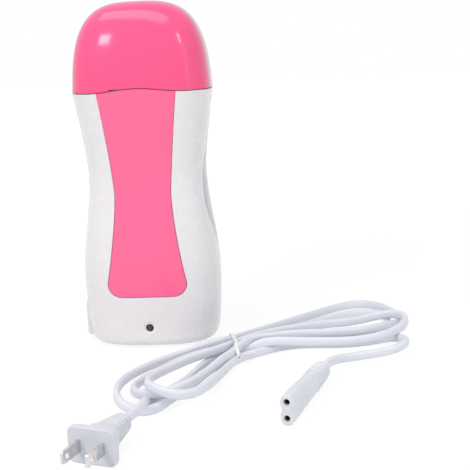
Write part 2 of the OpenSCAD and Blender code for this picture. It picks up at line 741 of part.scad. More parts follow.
module heater_wire() {
    wire([[8, board_back + contact, 12], [8, board_back + 2, 12], [8.3, board_back + 6, 13.5], [8.5, 2, 19],
        [8, 14, 25], [7.5, rise_y - 2, 31], [7, rise_y, 38], [6, heater_y + 5.4, 50], [5.5, heater_y + 4.4, 64],
        [5, heater_y + 1.6, heater_foot - 3], [5, heater_y + 1.6, heater_foot - contact]], [0.9, 0.9, 0.9]);
}

module thermostat_wire() {
    wire([[-1, board_back + contact, led_z + 9], [-1, board_back + 1.6, led_z + 9.1],
        [-1.5, board_back + 2.6, led_z + 13], [-2, board_y + 1, led_z + 18.5],
        [-2.2, -heater_y - 4, 42], [-2, -heater_y - 5, 55], [-1.2, -heater_y - 3, 70],
        [0, -heater_y - 2, clamp_z - 27], [0, -heater_y - 2, clamp_z - 24 - contact]], [0.9, 0.9, 0.9]);
}

// ---- base ----

module base_cover() {
    seat = 0.6;
    color(white) difference() {
        translate([0, 0, base_z]) linear_extrude(lip_z - base_z - 0.3)
            polygon(oval(lip_w - fit, lip_d - fit));
        both_sides() {
            for (y = [-foot_at[1], foot_at[1]]) translate([foot_at[0], y, 0])
                cylinder(h = base_z + seat, r = foot_r, $fn = fine);
            for (at = [base_front, base_back]) translate([at[0], at[1], 0]) {
                cylinder(h = 10, r = pilot_r, $fn = fine);
                cylinder(h = base_z + head_t * 0.7, r = head_r + 0.2, $fn = fine);
            }
        }
    }
}

module rubber_feet() {
    color([0.25, 0.25, 0.27]) both_sides() for (y = [-foot_at[1], foot_at[1]])
        translate([foot_at[0], y, 0]) cylinder(h = base_z + 0.6, r = foot_r, $fn = fine);
}

module base_screws() {
    color(steel) both_sides() for (at = [base_front, base_back])
        translate([at[0], at[1], base_z + head_t * 0.7]) rotate([180, 0, 0])
            screw(pilot_r, head_r, head_t * 0.7, 9);
}

// ---- mains cord: plug, hank, connector ----

plug_at = [-2, -198, plug_h / 2];
plug_turn = -108;         // where the blades point
plug_l = 31.5;            // from the face to the end of the relief
blade_h = 6.2;
blade_t = 1.5;
blade_root = 7;

connector_at = [87.2, -154.5, pin_pitch / 2 + connector_r];
connector_turn = 72.5;    // from the face to the relief

// rounded block sections along a moulding: [place, half width, half height, squareness]
function moulding(steps, m = 28) = [for (s = steps)
    [for (p = oval(s[1], s[2], s[3], m)) [s[0], p[0], p[1]]]];

// a ribbed, tapering relief: one groove for each pitch; last is every section's fourth value
rib_depth = 1;
function relief(start, stop, w0, h0, w1, h1, ribs, last) =
    [for (k = [0 : ribs - 1]) for (e = [0, 0.1, 0.58, 0.66, 0.92])
        let (u = (k + e) / ribs, groove = e > 0.6 ? rib_depth : 0)
        [start + (stop - start) * u, w0 + (w1 - w0) * u - groove, h0 + (h1 - h0) * u - groove, last]];

module plug_body() {
    w = plug_w / 2;
    h = plug_h / 2;
    plate = 7;                // squareness of the flange, and of the block behind it
    block = 4;
    steps = concat([[0, w - 0.5, h - 0.5, plate], [-0.6, w, h, plate], [-3.4, w, h, plate],
        [-4, w - 0.5, h - 0.5, plate], [-4.4, w - 3.4, h - 2.2, block], [-8.5, w - 4, h - 2.4, block],
        [-13, w - 4.6, h - 2.7, block]],
        relief(-13.5, -plug_l + 0.4, w - 5, h - 2.9, 4.6, 4.6, 5, 3), [[-plug_l, 3.8, 3.8, 3]]);
    color(white) translate(plug_at) rotate(plug_turn) difference() {
        ring_solid([for (r = moulding(steps)) [for (k = [len(r) - 1 : -1 : 0]) r[k]]]);
        for (side = [-1, 1]) translate([-blade_root, side * blade_pitch / 2 - blade_t / 2, -blade_h / 2])
            cube([blade_root + 1, blade_t, blade_h]);
    }
}

module plug_blades() {
    color(steel) translate(plug_at) rotate(plug_turn) for (side = [-1, 1])
        translate([-blade_root, side * blade_pitch / 2 - blade_t / 2, -blade_h / 2]) difference() {
            cube([blade_root + blade_l, blade_t, blade_h]);
            translate([blade_root + blade_l - 3.9, -1, blade_h / 2]) rotate([-90, 0, 0])
                cylinder(h = 5, r = 1.5, $fn = fine);
            for (up = [0, 1]) translate([blade_root + blade_l, -1, up * blade_h]) rotate([0, 45, 0])
                translate([-0.8, 0, -0.8]) cube([1.6, 5, 1.6]);
        }
}

module plug_lead() {
    route = [[7.7, -168.1, 9.1], [9.2, -163.5, 9.1], [11.3, -157.2, 9.1], [12.5, -153.2, 9.2], [13.4, -148.4, 9.1],
        [13.5, -143.2, 8.6], [13.3, -137.5, 7.6]];
    color(white) swept(route, cord_t, cord_w);
}

hank_h = 11.4;
tie_at = [53.7, -48];
tie_turn = 12;
tie_half = 18.2;          // half width of the bundle under the tie
tie_wire = 1.3;
left_end = [18, -112];
right_back = [133.5, 23.5];
right_front = [135, -22];

// a slab round two circles and the straight sides that touch both
module capsule(a, ra, b, rb) {
    line = b - a;
    turn = atan2(line[1], line[0]);
    lean = acos((ra - rb) / norm(line));
    linear_extrude(hank_h) polygon(concat(
        [for (k = [0 : 16]) let (t = turn - lean + 2 * lean * k / 16) b + rb * [cos(t), sin(t)]],
        [for (k = [0 : 16]) let (t = turn + lean + (360 - 2 * lean) * k / 16) a + ra * [cos(t), sin(t)]]));
}

module cord_hank() {
    color(white) difference() {
        union() {
            capsule(tie_at, 15, left_end, 27);
            capsule(tie_at, 15, right_back, 24.5);
            capsule(tie_at, 10, right_front, 25.5);
            capsule(right_front, 25.7, right_back, 24.3);
            linear_extrude(hank_h) polygon([tie_at + [10, 9], right_front, right_back]);
        }
        translate(tie_at) rotate(tie_turn) difference() {
            translate([-2, -40, -1]) cube([4, 80, hank_h + 2]);
            translate([-3, -tie_half, tie_wire + 0.3]) cube([6, 2 * tie_half, hank_h - 2 * tie_wire - 0.6]);
        }
    }
}

module wire_link(a, b) {
    line = b - a;
    flat = norm([line[0], line[1]]);
    translate(a) rotate([0, atan2(flat, line[2]), atan2(line[1], line[0])]) {
        cylinder(h = norm(line), r = tie_wire / 2, $fn = 24);
        sphere(r = tie_wire / 2 + 0.04, $fn = 24);
    }
}

module twist_tie() {
    low = tie_wire / 2 + 0.1;
    high = hank_h - low;
    out = tie_half + tie_wire / 2 + 0.15;
    tail = hank_h + tie_wire / 2 + 0.1;
    loop = [[0, -out, low], [0, out, low], [0, out, high], [0, -out, high]];
    color([0.9, 0.9, 0.88]) translate(tie_at) rotate(tie_turn) {
        for (k = [0 : 3]) wire_link(loop[k], loop[(k + 1) % 4]);
        wire_link([0, -7, high], [0, -7, tail]);
        wire_link([0, -7, tail], [20, -3.5, tail]);
    }
}

module connector_lead() {
    route = [[146.2, -29.6, 4.3], [152.5, -33.3, 5.6], [156.2, -40.1, 6.3], [155.5, -48.2, 6.6],
        [150.2, -55, 6.2], [141, -58.6, 5.1], [130.1, -61.2, 4.3], [121.3, -64.8, 4.3], [115, -70.3, 5.2],
        [111.3, -77.7, 6.5], [108.6, -86.4, 7.9], [106.1, -94.4, 8.05]];
    color(white) swept(route, cord_t, cord_w);
}

// sections of the connector: [place, half width, half height, pinch between its lobes]
function connector_rings(steps) = [for (s = steps) [for (p = oval(s[1], s[2], 2.9, 32))
    [s[0], p[0] * (1 - s[3] * pow(cos(90 * min(1, abs(p[1]) / 3.6)), 2)), p[1]]]];

module connector_body() {
    w = connector_r;
    h = connector_at[2];
    steps = concat([[0, w - 0.5, h - 0.5, 0.3], [0.7, w, h, 0.3], [13, w, h, 0.28], [20, w + 0.1, h - 0.6, 0.12],
        [28, w + 0.3, h - 1.4, 0], [connector_l - 21, w + 0.5, h - 2.1, 0]],
        relief(connector_l - 20.6, connector_l - 0.4, w + 0.8, h - 1.7, 4.4, 4.8, 4, 0),
        [[connector_l, 3.6, 4, 0]]);
    color(white) translate(connector_at) rotate(connector_turn) difference() {
        ring_solid(connector_rings(steps));
        for (side = [-1, 1]) translate([-1, 0, side * pin_pitch / 2]) rotate([0, 90, 0])
            cylinder(h = 14.5, r = pin_d / 2 + 0.55, $fn = fine);
    }
}

module connector_contacts() {
    color([0.75, 0.65, 0.35]) translate(connector_at) rotate(connector_turn) for (side = [-1, 1])
        translate([1.5, 0, side * pin_pitch / 2]) rotate([0, 90, 0]) difference() {
            cylinder(h = 12, r = pin_d / 2 + 0.55, $fn = fine);
            translate([0, 0, -1]) cylinder(h = 12, r = pin_d / 2 + 0.05, $fn = fine);
        }
}

front_shell();
rear_shell();
front_panel();
level_window(-1);  // level_window_left
level_window(1);  // level_window_right
cap();
neck_collar();
collar_screws();
heating_chamber();
chamber_seat();
ptc_heater();
insulation_sheet();
heater_clamp();
chamber_screws();
thermostat();
thermal_fuse();
circuit_board();
board_resistor();
board_screws();
indicator_led();
power_inlet();
inlet_pins();
live_wire();
neutral_wire();
heater_wire();
thermostat_wire();
base_cover();
rubber_feet();
base_screws();
casing_screws();
plug_body();
plug_blades();
plug_lead();
cord_hank();
twist_tie();
connector_lead();
connector_body();
connector_contacts();
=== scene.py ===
"""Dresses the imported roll-on wax heater: its shells, cap, panel, windows and tied mains cord."""

import math

import bmesh
import bpy
import numpy as np
from mathutils import Matrix, Vector


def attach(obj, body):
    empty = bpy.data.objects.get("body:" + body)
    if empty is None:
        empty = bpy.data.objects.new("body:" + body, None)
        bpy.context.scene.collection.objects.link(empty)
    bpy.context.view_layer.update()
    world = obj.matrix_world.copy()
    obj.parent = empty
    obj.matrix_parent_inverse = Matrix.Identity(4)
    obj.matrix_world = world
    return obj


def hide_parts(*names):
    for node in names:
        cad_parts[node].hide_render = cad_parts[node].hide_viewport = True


bl_info = {
    "name": "Roll-on wax heater",
    "version": (1, 0, 0),
    "blender": (4, 5, 0),
    "location": "3D View > Sidebar > Wax heater",
    "description": "Builds the visible pieces of a roll-on wax heater round its packed frame",
    "category": "Object",
}

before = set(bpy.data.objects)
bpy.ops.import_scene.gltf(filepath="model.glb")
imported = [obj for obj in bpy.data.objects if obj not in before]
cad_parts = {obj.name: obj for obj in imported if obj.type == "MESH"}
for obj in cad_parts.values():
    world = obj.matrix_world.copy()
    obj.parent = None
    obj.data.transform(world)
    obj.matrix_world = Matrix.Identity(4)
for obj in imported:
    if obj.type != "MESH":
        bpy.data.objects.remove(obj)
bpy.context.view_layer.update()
MM = 0.001


# ---- settings ----


class HeaterSizes(bpy.types.PropertyGroup):
    """Sizes of the heater, in millimetres, as the frame has them"""

    height: bpy.props.FloatProperty(
        name="Height", description="From the table to the top of the cap", default=213.0)
    seam_z: bpy.props.FloatProperty(
        name="Seam height", description="Height of the seam under the cap", default=159.0)
    seam_w: bpy.props.FloatProperty(
        name="Seam half width", description="Half width of the body at the seam", default=43.1)
    waist_w: bpy.props.FloatProperty(
        name="Waist half width", description="Half width of the body at its waist", default=36.6)
    waist_z: bpy.props.FloatProperty(
        name="Waist height", description="Height of the waist", default=110.0)
    flare: bpy.props.FloatProperty(
        name="Flare", description="Power by which the body widens from its waist to the seam", default=1.3)
    hip_w: bpy.props.FloatProperty(
        name="Hip half width", description="Half width of the body at its hip", default=43.0)
    hip_z: bpy.props.FloatProperty(
        name="Hip height", description="Height of the hip", default=42.0)
    foot_w: bpy.props.FloatProperty(
        name="Foot half width", description="Half width of the body at its foot", default=39.9)
    depth_ratio: bpy.props.FloatProperty(
        name="Depth over width", description="Depth of every section over its width", default=31.7 / 43.1)
    squareness: bpy.props.FloatProperty(
        name="Squareness", description="Power of the squared oval sections", default=3.0)
    foot_round: bpy.props.FloatProperty(
        name="Lower edge radius", description="Radius of the lower edge", default=6.0)
    wall: bpy.props.FloatProperty(
        name="Wall", description="Wall of the shells", default=2.6)
    arch: bpy.props.FloatProperty(
        name="Seam arch", description="Rise of the seam in the middle of the front", default=2.4)
    cap_wall: bpy.props.FloatProperty(
        name="Cap wall", description="Wall of the cap", default=2.2)
    cap_taper: bpy.props.FloatProperty(
        name="Cap taper", description="How much narrower the cap is at its top, on each side", default=3.7)
    cap_shoulder: bpy.props.FloatProperty(
        name="Cap shoulder", description="Power of the cap's shoulder", default=3.2)
    cap_gap: bpy.props.FloatProperty(
        name="Cap gap", description="Gap between the cap's rim and the body", default=0.4)
    around: bpy.props.IntProperty(
        name="Steps around", description="Points around each section", default=176)


class HeaterFinish(bpy.types.PropertyGroup):
    """Colours of the finishes"""

    shell: bpy.props.FloatVectorProperty(
        name="Shell", description="Gloss white of the body", subtype="COLOR", size=3,
        default=(0.785, 0.765, 0.78))
    cap: bpy.props.FloatVectorProperty(
        name="Cap", description="Pink of the cap", subtype="COLOR", size=3, default=(0.89, 0.088, 0.245))
    panel: bpy.props.FloatVectorProperty(
        name="Panel", description="Pink of the front panel", subtype="COLOR", size=3,
        default=(0.98, 0.128, 0.30))
    window: bpy.props.FloatVectorProperty(
        name="Level window", description="Smoky tint of the level windows", subtype="COLOR", size=3,
        default=(0.27, 0.28, 0.335))
    cord: bpy.props.FloatVectorProperty(
        name="Cord", description="Cool white of the cord and its plug", subtype="COLOR", size=3,
        default=(0.74, 0.765, 0.83))
    steel: bpy.props.FloatVectorProperty(
        name="Blades", description="Plated steel of the blades", subtype="COLOR", size=3,
        default=(0.74, 0.72, 0.72))


class CordSizes(bpy.types.PropertyGroup):
    """Sizes of the mains cord, in millimetres"""

    width: bpy.props.FloatProperty(
        name="Cord width", description="Width of the flat cord, which lies on its edge", default=5.4)
    thickness: bpy.props.FloatProperty(
        name="Cord thickness", description="Thickness of the flat cord", default=4.0)
    step: bpy.props.FloatProperty(
        name="Ring step", description="Distance between the cord's rings", default=1.6)


class StudioSettings(bpy.types.PropertyGroup):
    """Place of the camera and strength of the lamps"""

    camera_at: bpy.props.FloatVectorProperty(
        name="Camera", description="Place of the camera", subtype="XYZ", unit="LENGTH", size=3,
        default=(0.10126, -0.62194, 0.19615))
    heading: bpy.props.FloatProperty(
        name="Heading", description="Turn of the camera to the left", unit="ROTATION",
        default=math.radians(4.41))
    pitch: bpy.props.FloatProperty(
        name="Pitch", description="How far the camera looks down", unit="ROTATION",
        default=math.radians(11.86))
    roll: bpy.props.FloatProperty(
        name="Roll", description="Lean of the camera", unit="ROTATION", default=math.radians(-2.44))
    lens: bpy.props.FloatProperty(
        name="Lens", description="Focal length in millimetres", default=76.6)
    key: bpy.props.FloatProperty(
        name="Key lamp", description="Power of the large lamp at the left", default=2.9)
    top: bpy.props.FloatProperty(
        name="Top lamp", description="Power of the long lamp above", default=3.3)
    side: bpy.props.FloatProperty(
        name="Side lamp", description="Power of the strip lamp at the right", default=0.14)
    fill: bpy.props.FloatProperty(
        name="Fill lamp", description="Power of the large lamp at the right, which nothing mirrors",
        default=2.2)
    spark: bpy.props.FloatProperty(
        name="Spark lamps", description="Power of the two small lamps that the cap mirrors", default=1.9)


# ---- shapes that several pieces share ----


def sizes():
    return bpy.context.scene.heater_sizes


def finish():
    return bpy.context.scene.heater_finish


def ease(u):
    """Falls smoothly from 1 at 0 to 0 at 1."""
    return (1 + math.cos(math.pi * u)) / 2


def half_width(z):
    """Half width of the body at a height, without its rounded lower edge."""
    s = sizes()
    if z <= s.hip_z:
        return s.hip_w - (s.hip_w - s.foot_w) * ((s.hip_z - z) / s.hip_z) ** 2
    if z <= s.waist_z:
        return s.waist_w + (s.hip_w - s.waist_w) * ease((z - s.hip_z) / (s.waist_z - s.hip_z))
    return s.waist_w + (s.seam_w - s.waist_w) * ((z - s.waist_z) / (s.seam_z - s.waist_z)) ** s.flare


BASE_Z = 1.0  # the body stands this far above the table, on its feet
ARCH_HALF = 31.0  # half width of the arch in the seam


def edge_in(z):
    """How far the rounded lower edge draws the outline in."""
    r = sizes().foot_round
    if z >= BASE_Z + r:
        return 0.0
    return r - math.sqrt(max(0.0, r * r - (r - (z - BASE_Z)) ** 2))


def out_w(z):
    return half_width(z) - edge_in(z)


def out_d(z):
    return sizes().depth_ratio * half_width(z) - edge_in(z)


def lobe(turn, power):
    """A point of a squared circle of radius 1."""
    c, s = math.cos(turn), math.sin(turn)
    return (math.copysign(abs(c) ** (2 / power), c), math.copysign(abs(s) ** (2 / power), s))


def oval(w, d, power=None, count=None):
    power = power or sizes().squareness
    count = count or sizes().around
    return [(w * p[0], d * p[1]) for p in (lobe(2 * math.pi * (i + 0.5) / count, power) for i in range(count))]


def front_at(x, z):
    """How far the body's front stands ahead of its axis."""
    w, d, n = out_w(z), out_d(z), sizes().squareness
    return d * max(0.0, 1 - (abs(x) / w) ** n) ** (1 / n)


def side_at(y, z, inset=0.0):
    """How far the body's flank stands beside its axis."""
    w, d, n = out_w(z) - inset, out_d(z) - inset, sizes().squareness
    return w * max(0.0, 1 - (abs(y) / d) ** n) ** (1 / n)


def seam_at(x):
    s = sizes()
    return s.seam_z + (s.arch * ease(x / ARCH_HALF) if abs(x) < ARCH_HALF else 0.0)


# ---- modelling helpers ----


def clear_selection():
    if bpy.context.object and bpy.context.object.mode != "OBJECT":
        bpy.ops.object.mode_set(mode="OBJECT")
    bpy.ops.object.select_all(action="DESELECT")


def pick(piece):
    clear_selection()
    piece.select_set(True)
    bpy.context.view_layer.objects.active = piece


def edit_mesh(piece):
    pick(piece)
    bpy.ops.object.mode_set(mode="EDIT")
    return bmesh.from_edit_mesh(piece.data)


def close_edit(piece, merge=1e-6):
    """Merges doubles, turns the normals outward and leaves edit mode."""
    bpy.ops.mesh.select_all(action="SELECT")
    bpy.ops.mesh.remove_doubles(threshold=merge)
    bpy.ops.mesh.normals_make_consistent(inside=False)
    bpy.ops.object.mode_set(mode="OBJECT")
    return piece


def named(name):
    piece = bpy.context.active_object
    piece.name = piece.data.name = name
    return piece


def place(verts, points):
    for vert, point in zip(verts, points):
        vert.co = Vector(point) * MM


def live(piece):
    """The piece's open edit mesh, ready to be indexed."""
    bm = bmesh.from_edit_mesh(piece.data)
    bm.verts.ensure_lookup_table()
    return bm


def choose_ring(piece, part):
    """Selects only the given run of vertices and the edges between them."""
    bm = live(piece)
    for group in (bm.verts, bm.edges, bm.faces):
        for item in group:
            item.select = False
    verts = bm.verts[part]
    chosen = set(verts)
    for vert in verts:
        vert.select = True
        for edge in vert.link_edges:
            if edge.other_vert(vert) in chosen:
                edge.select = True
    bmesh.update_edit_mesh(piece.data)


def extrude_ring(piece, points):
    """Extrudes the selected ring and puts the new one on its points."""
    bpy.ops.mesh.extrude_edges_move()
    place(live(piece).verts[-len(points):], points)
    bmesh.update_edit_mesh(piece.data)


def loft(name, rings, tube=False, foot="cap", head="cap"):
    """A skin through rings of points: a circle that is extruded ring by ring.

    foot and head are "cap", "open" or a point where the skin closes.
    """
    clear_selection()
    count = len(rings[0])
    bpy.ops.mesh.primitive_circle_add(vertices=count, radius=0.01, fill_type="NOTHING")
    piece = named(name)
    bpy.ops.object.mode_set(mode="EDIT")
    bpy.ops.mesh.select_mode(type="EDGE")
    place(live(piece).verts[:], rings[0])
    if foot == "cap" and not tube:
        bpy.ops.mesh.select_all(action="SELECT")
        bpy.ops.mesh.edge_face_add()
    chain = list(rings[1:])
    if tube:
        chain.append(rings[0])
    if isinstance(head, tuple):
        chain.append([head] * count)
    first, last = slice(0, count), slice(-count, None)
    choose_ring(piece, first)
    for points in chain:
        extrude_ring(piece, points)
    if head == "cap" and not tube:
        choose_ring(piece, last)
        bpy.ops.mesh.edge_face_add()
    if isinstance(foot, tuple):
        choose_ring(piece, first)
        extrude_ring(piece, [foot] * count)
    return close_edit(piece)


def plate(name, rows, cols, layers):
    """A closed plate: a grid placed on the first layer, then extruded as a region to each next layer."""
    clear_selection()
    bpy.ops.mesh.primitive_grid_add(x_subdivisions=cols - 1, y_subdivisions=rows - 1, size=0.02)
    piece = named(name)
    bpy.ops.object.mode_set(mode="EDIT")
    bpy.ops.mesh.select_mode(type="FACE")
    bm = live(piece)

    def key(vert):
        return tuple(round(c * 1e9) for c in vert.co)

    place(bm.verts[:], [layers[0](*divmod(k, cols)) for k in range(rows * cols)])
    bmesh.update_edit_mesh(piece.data)
    bpy.ops.mesh.select_all(action="SELECT")
    at = {key(bm.verts[k]): k for k in range(rows * cols)}
    for layer in layers[1:]:
        bpy.ops.mesh.extrude_region_move()
        found = {}
        for vert in [v for v in bmesh.from_edit_mesh(piece.data).verts if v.select]:
            k = at[key(vert)]
            vert.co = Vector(layer(*divmod(k, cols))) * MM
            found[key(vert)] = k
        at = found
        bmesh.update_edit_mesh(piece.data)
    return close_edit(piece)


def bevel_open(piece, wanted, width, segments):
    """Bevels the edges of the open piece whose two ends pass the test, and leaves edit mode."""
    bpy.ops.mesh.select_mode(type="EDGE")
    bpy.ops.mesh.select_all(action="DESELECT")
    for edge in bmesh.from_edit_mesh(piece.data).edges:
        edge.select = wanted(*(vert.co / MM for vert in edge.verts))
    bmesh.update_edit_mesh(piece.data)
    bpy.ops.mesh.bevel(offset=width * MM, segments=segments)
    bpy.ops.object.mode_set(mode="OBJECT")


def apply_modifier(piece, kind, label, **values):
    pick(piece)
    modifier = piece.modifiers.new(label, kind)
    for key, value in values.items():
        setattr(modifier, key, value)
    bpy.ops.object.modifier_apply(modifier=modifier.name)
    return piece


def carve(piece, tool, operation="DIFFERENCE"):
    apply_modifier(piece, "BOOLEAN", "Carve", operation=operation, solver="EXACT", object=tool)
    bpy.data.objects.remove(tool)
    return piece


def smooth(piece, degrees):
    """Smooth shading up to an angle, with normals weighted by face."""
    pick(piece)
    bpy.ops.object.shade_smooth_by_angle(angle=math.radians(degrees))
    return apply_modifier(piece, "WEIGHTED_NORMAL", "Weighted", keep_sharp=True, weight=60)


def drum(name, centre, radius, depth, turn=(0, 0, 0), sides=64):
    clear_selection()
    bpy.ops.mesh.primitive_cylinder_add(vertices=sides, radius=radius * MM, depth=depth * MM,
                                        location=Vector(centre) * MM, rotation=turn)
    piece = named(name)
    bpy.ops.object.transform_apply(location=True, rotation=True, scale=True)
    return piece


def block(name, low, high, round_edges=0.0, steps=3):
    clear_selection()
    low, high = Vector(low) * MM, Vector(high) * MM
    bpy.ops.mesh.primitive_cube_add(size=1.0, location=(low + high) / 2, scale=high - low)
    piece = named(name)
    bpy.ops.object.transform_apply(location=True, rotation=True, scale=True)
    if round_edges:
        edit_mesh(piece)
        bpy.ops.mesh.select_all(action="SELECT")
        bpy.ops.mesh.bevel(offset=round_edges * MM, segments=steps)
        bpy.ops.object.mode_set(mode="OBJECT")
    return piece


def move_points(piece, turn, at):
    """Turns a finished piece about Z and carries it to its place, in its mesh."""
    piece.data.transform(Matrix.Translation(Vector(at) * MM) @ Matrix.Rotation(math.radians(turn), 4, "Z"))
    return piece


def dress(piece, material, body, slot, *nodes):
    """Gives a piece its finish, its body and the nodes that it stands for; slot is not used."""
    piece.data.materials.clear()
    piece.data.materials.append(material)
    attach(piece, body)
    if nodes:
        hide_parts(*nodes)
    return piece


# ---- finishes ----


def add_node(tree, kind, **values):
    """A shader node with its inputs set; an underscore stands for a space in an input's name."""
    node = tree.nodes.new(f"ShaderNode{kind}")
    for label, value in values.items():
        node.inputs[label.replace("_", " ")].default_value = value
    return node


def new_finish(name):
    material = bpy.data.materials.new(name)
    material.use_nodes = True
    tree = material.node_tree
    return material, tree, tree.nodes["Principled BSDF"], add_node(tree, "TexCoord").outputs["Object"]


def noise(tree, where, scale, detail=3.0):
    node = add_node(tree, "TexNoise", Scale=scale, Detail=detail)
    tree.links.new(where, node.inputs["Vector"])
    return node.outputs["Fac"]


def spread(tree, value, low, high, start=0.3, stop=0.7):
    """Carries the range from start to stop over to the range from low to high."""
    node = add_node(tree, "MapRange", From_Min=start, From_Max=stop, To_Min=low, To_Max=high)
    tree.links.new(value, node.inputs["Value"])
    return node.outputs["Result"]


def tint(tree, factor, first, second):
    """Mixes two colours by a factor; the first may be a colour or another node's output."""
    node = tree.nodes.new("ShaderNodeMix")
    node.data_type = "RGBA"
    if isinstance(first, tuple):
        node.inputs["A"].default_value = (*first, 1)
    else:
        tree.links.new(first, node.inputs["A"])
    node.inputs["B"].default_value = (*second, 1)
    tree.links.new(factor, node.inputs["Factor"])
    return node.outputs["Result"]


def scaled(tree, where, scale):
    node = add_node(tree, "Mapping", Scale=scale)
    tree.links.new(where, node.inputs["Vector"])
    return node.outputs["Vector"]


def relief(tree, shader, height, strength, distance):
    node = add_node(tree, "Bump", Strength=strength, Distance=distance)
    tree.links.new(height, node.inputs["Height"])
    tree.links.new(node.outputs["Normal"], shader.inputs["Normal"])


def shade(colour, factor):
    return tuple(min(1.0, c * factor) for c in colour)


def moulded(name, colour, gloss=(0.22, 0.30), grain=900.0, depth=0.00002, coat=0.0, swirl=0.03, rim=None):
    """Injection-moulded plastic: a faint flow in its colour, a fine grain, an uneven gloss and, when rim is
    given, painted shade that darkens the colour to rim where the surface turns from the view.
    """
    material, tree, shader, where = new_finish(name)
    flow = spread(tree, noise(tree, where, 24.0, 2.0), 0, 1)
    body = tint(tree, flow, shade(colour, 1 - swirl), shade(colour, 1 + swirl))
    # painted shade: at grazing views the colour goes over to the darker rim colour, as if the edges lay in
    # shade
    if rim:
        edge_shade_mask = add_node(tree, "LayerWeight").outputs["Facing"]
        body = tint(tree, spread(tree, edge_shade_mask, 0, 1, 0.6, 1.0), body, rim)
        shader.inputs["Specular IOR Level"].default_value = 0.22
        shader.inputs["Coat IOR"].default_value = 1.38
    tree.links.new(body, shader.inputs["Base Color"])
    tree.links.new(spread(tree, noise(tree, where, 60.0, 4.0), *gloss), shader.inputs["Roughness"])
    relief(tree, shader, noise(tree, where, grain, 4.0), 0.25, depth)
    if coat:
        shader.inputs["Coat Weight"].default_value = coat
        shader.inputs["Coat Roughness"].default_value = 0.11
    return material


def metal(name, colour, gloss=(0.22, 0.4), across=(900.0, 60.0, 60.0)):
    """Drawn or stamped metal: fine lines along one way and a few dull patches."""
    material, tree, shader, where = new_finish(name)
    lines = noise(tree, scaled(tree, where, across), 3.0)
    shader.inputs["Metallic"].default_value = 1.0
    tree.links.new(tint(tree, spread(tree, lines, 0, 1), shade(colour, 0.86), shade(colour, 1.1)),
                   shader.inputs["Base Color"])
    tree.links.new(spread(tree, noise(tree, where, 300.0, 4.0), *gloss), shader.inputs["Roughness"])
    relief(tree, shader, lines, 0.2, 0.00003)
    return material


# ---- stage: camera, lamps, table ----


def aim(at, forward, right):
    """The matrix of a camera that stands at a place and looks forward."""
    turn = Matrix((right, right.cross(forward), -forward)).transposed().to_4x4()
    return Matrix.Translation(at) @ turn


def joined(tree, operation, first, second):
    node = tree.nodes.new("ShaderNodeMath")
    node.operation = operation
    tree.links.new(first, node.inputs[0])
    tree.links.new(second, node.inputs[1])
    return node.outputs[0]


def mixed_out(tree, kind, share, first, second):
    """Mixes two shaders into the tree's output."""
    mix = tree.nodes.new("ShaderNodeMixShader")
    for socket, source in zip(mix.inputs, (share, first.outputs[0], second.outputs[0])):
        tree.links.new(source, socket)
    tree.links.new(mix.outputs[0], tree.nodes.new(f"ShaderNodeOutput{kind}").inputs["Surface"])


def background_rays(tree):
    """1 for the rays that show the background: the camera's, and those mirrored or let through."""
    path = tree.nodes.new("ShaderNodeLightPath")
    either = path.outputs["Is Camera Ray"]
    for kind in ("Is Glossy Ray", "Is Transmission Ray"):
        either = joined(tree, "MAXIMUM", either, path.outputs[kind])
    return either


# name, place, target and size in metres, setting, share of its power, whether glossy pieces mirror it
LAMPS = (
    ("key_lamp", (-0.75, -0.75, 0.75), (0, 0, 0.1), (0.7, 0.7), "key", 1, False),
    ("fill_lamp", (0.85, -0.6, 0.4), (0, 0, 0.1), (0.5, 0.6), "fill", 1, False),
    ("top_lamp", (-0.11, -0.25, 0.95), (0, -0.05, 0.05), (0.9, 0.36), "top", 1, True),
    ("side_lamp", (0.8, -0.62, 0.42), (0, 0, 0.15), (0.09, 0.4), "side", 1, True),
    ("left_spark", (-0.5, -0.76, 0.66), (0, 0, 0.18), (0.23, 0.16), "spark", 1, True),
    ("right_spark", (0.65, -0.64, 0.7), (0, 0, 0.18), (0.08, 0.17), "spark", 0.38, True),
)


def area_lamp(name, at, target, size, power, mirrored):
    clear_selection()
    bpy.ops.object.light_add(type="AREA", location=at)
    lamp = bpy.context.active_object
    lamp.name = lamp.data.name = name
    lamp.data.shape = "RECTANGLE"
    lamp.data.size, lamp.data.size_y = size
    lamp.data.energy = power
    lamp.visible_glossy = mirrored
    forward = (Vector(target) - Vector(at)).normalized()
    lamp.rotation_euler = forward.to_track_quat("-Z", "Y").to_euler()
    return lamp


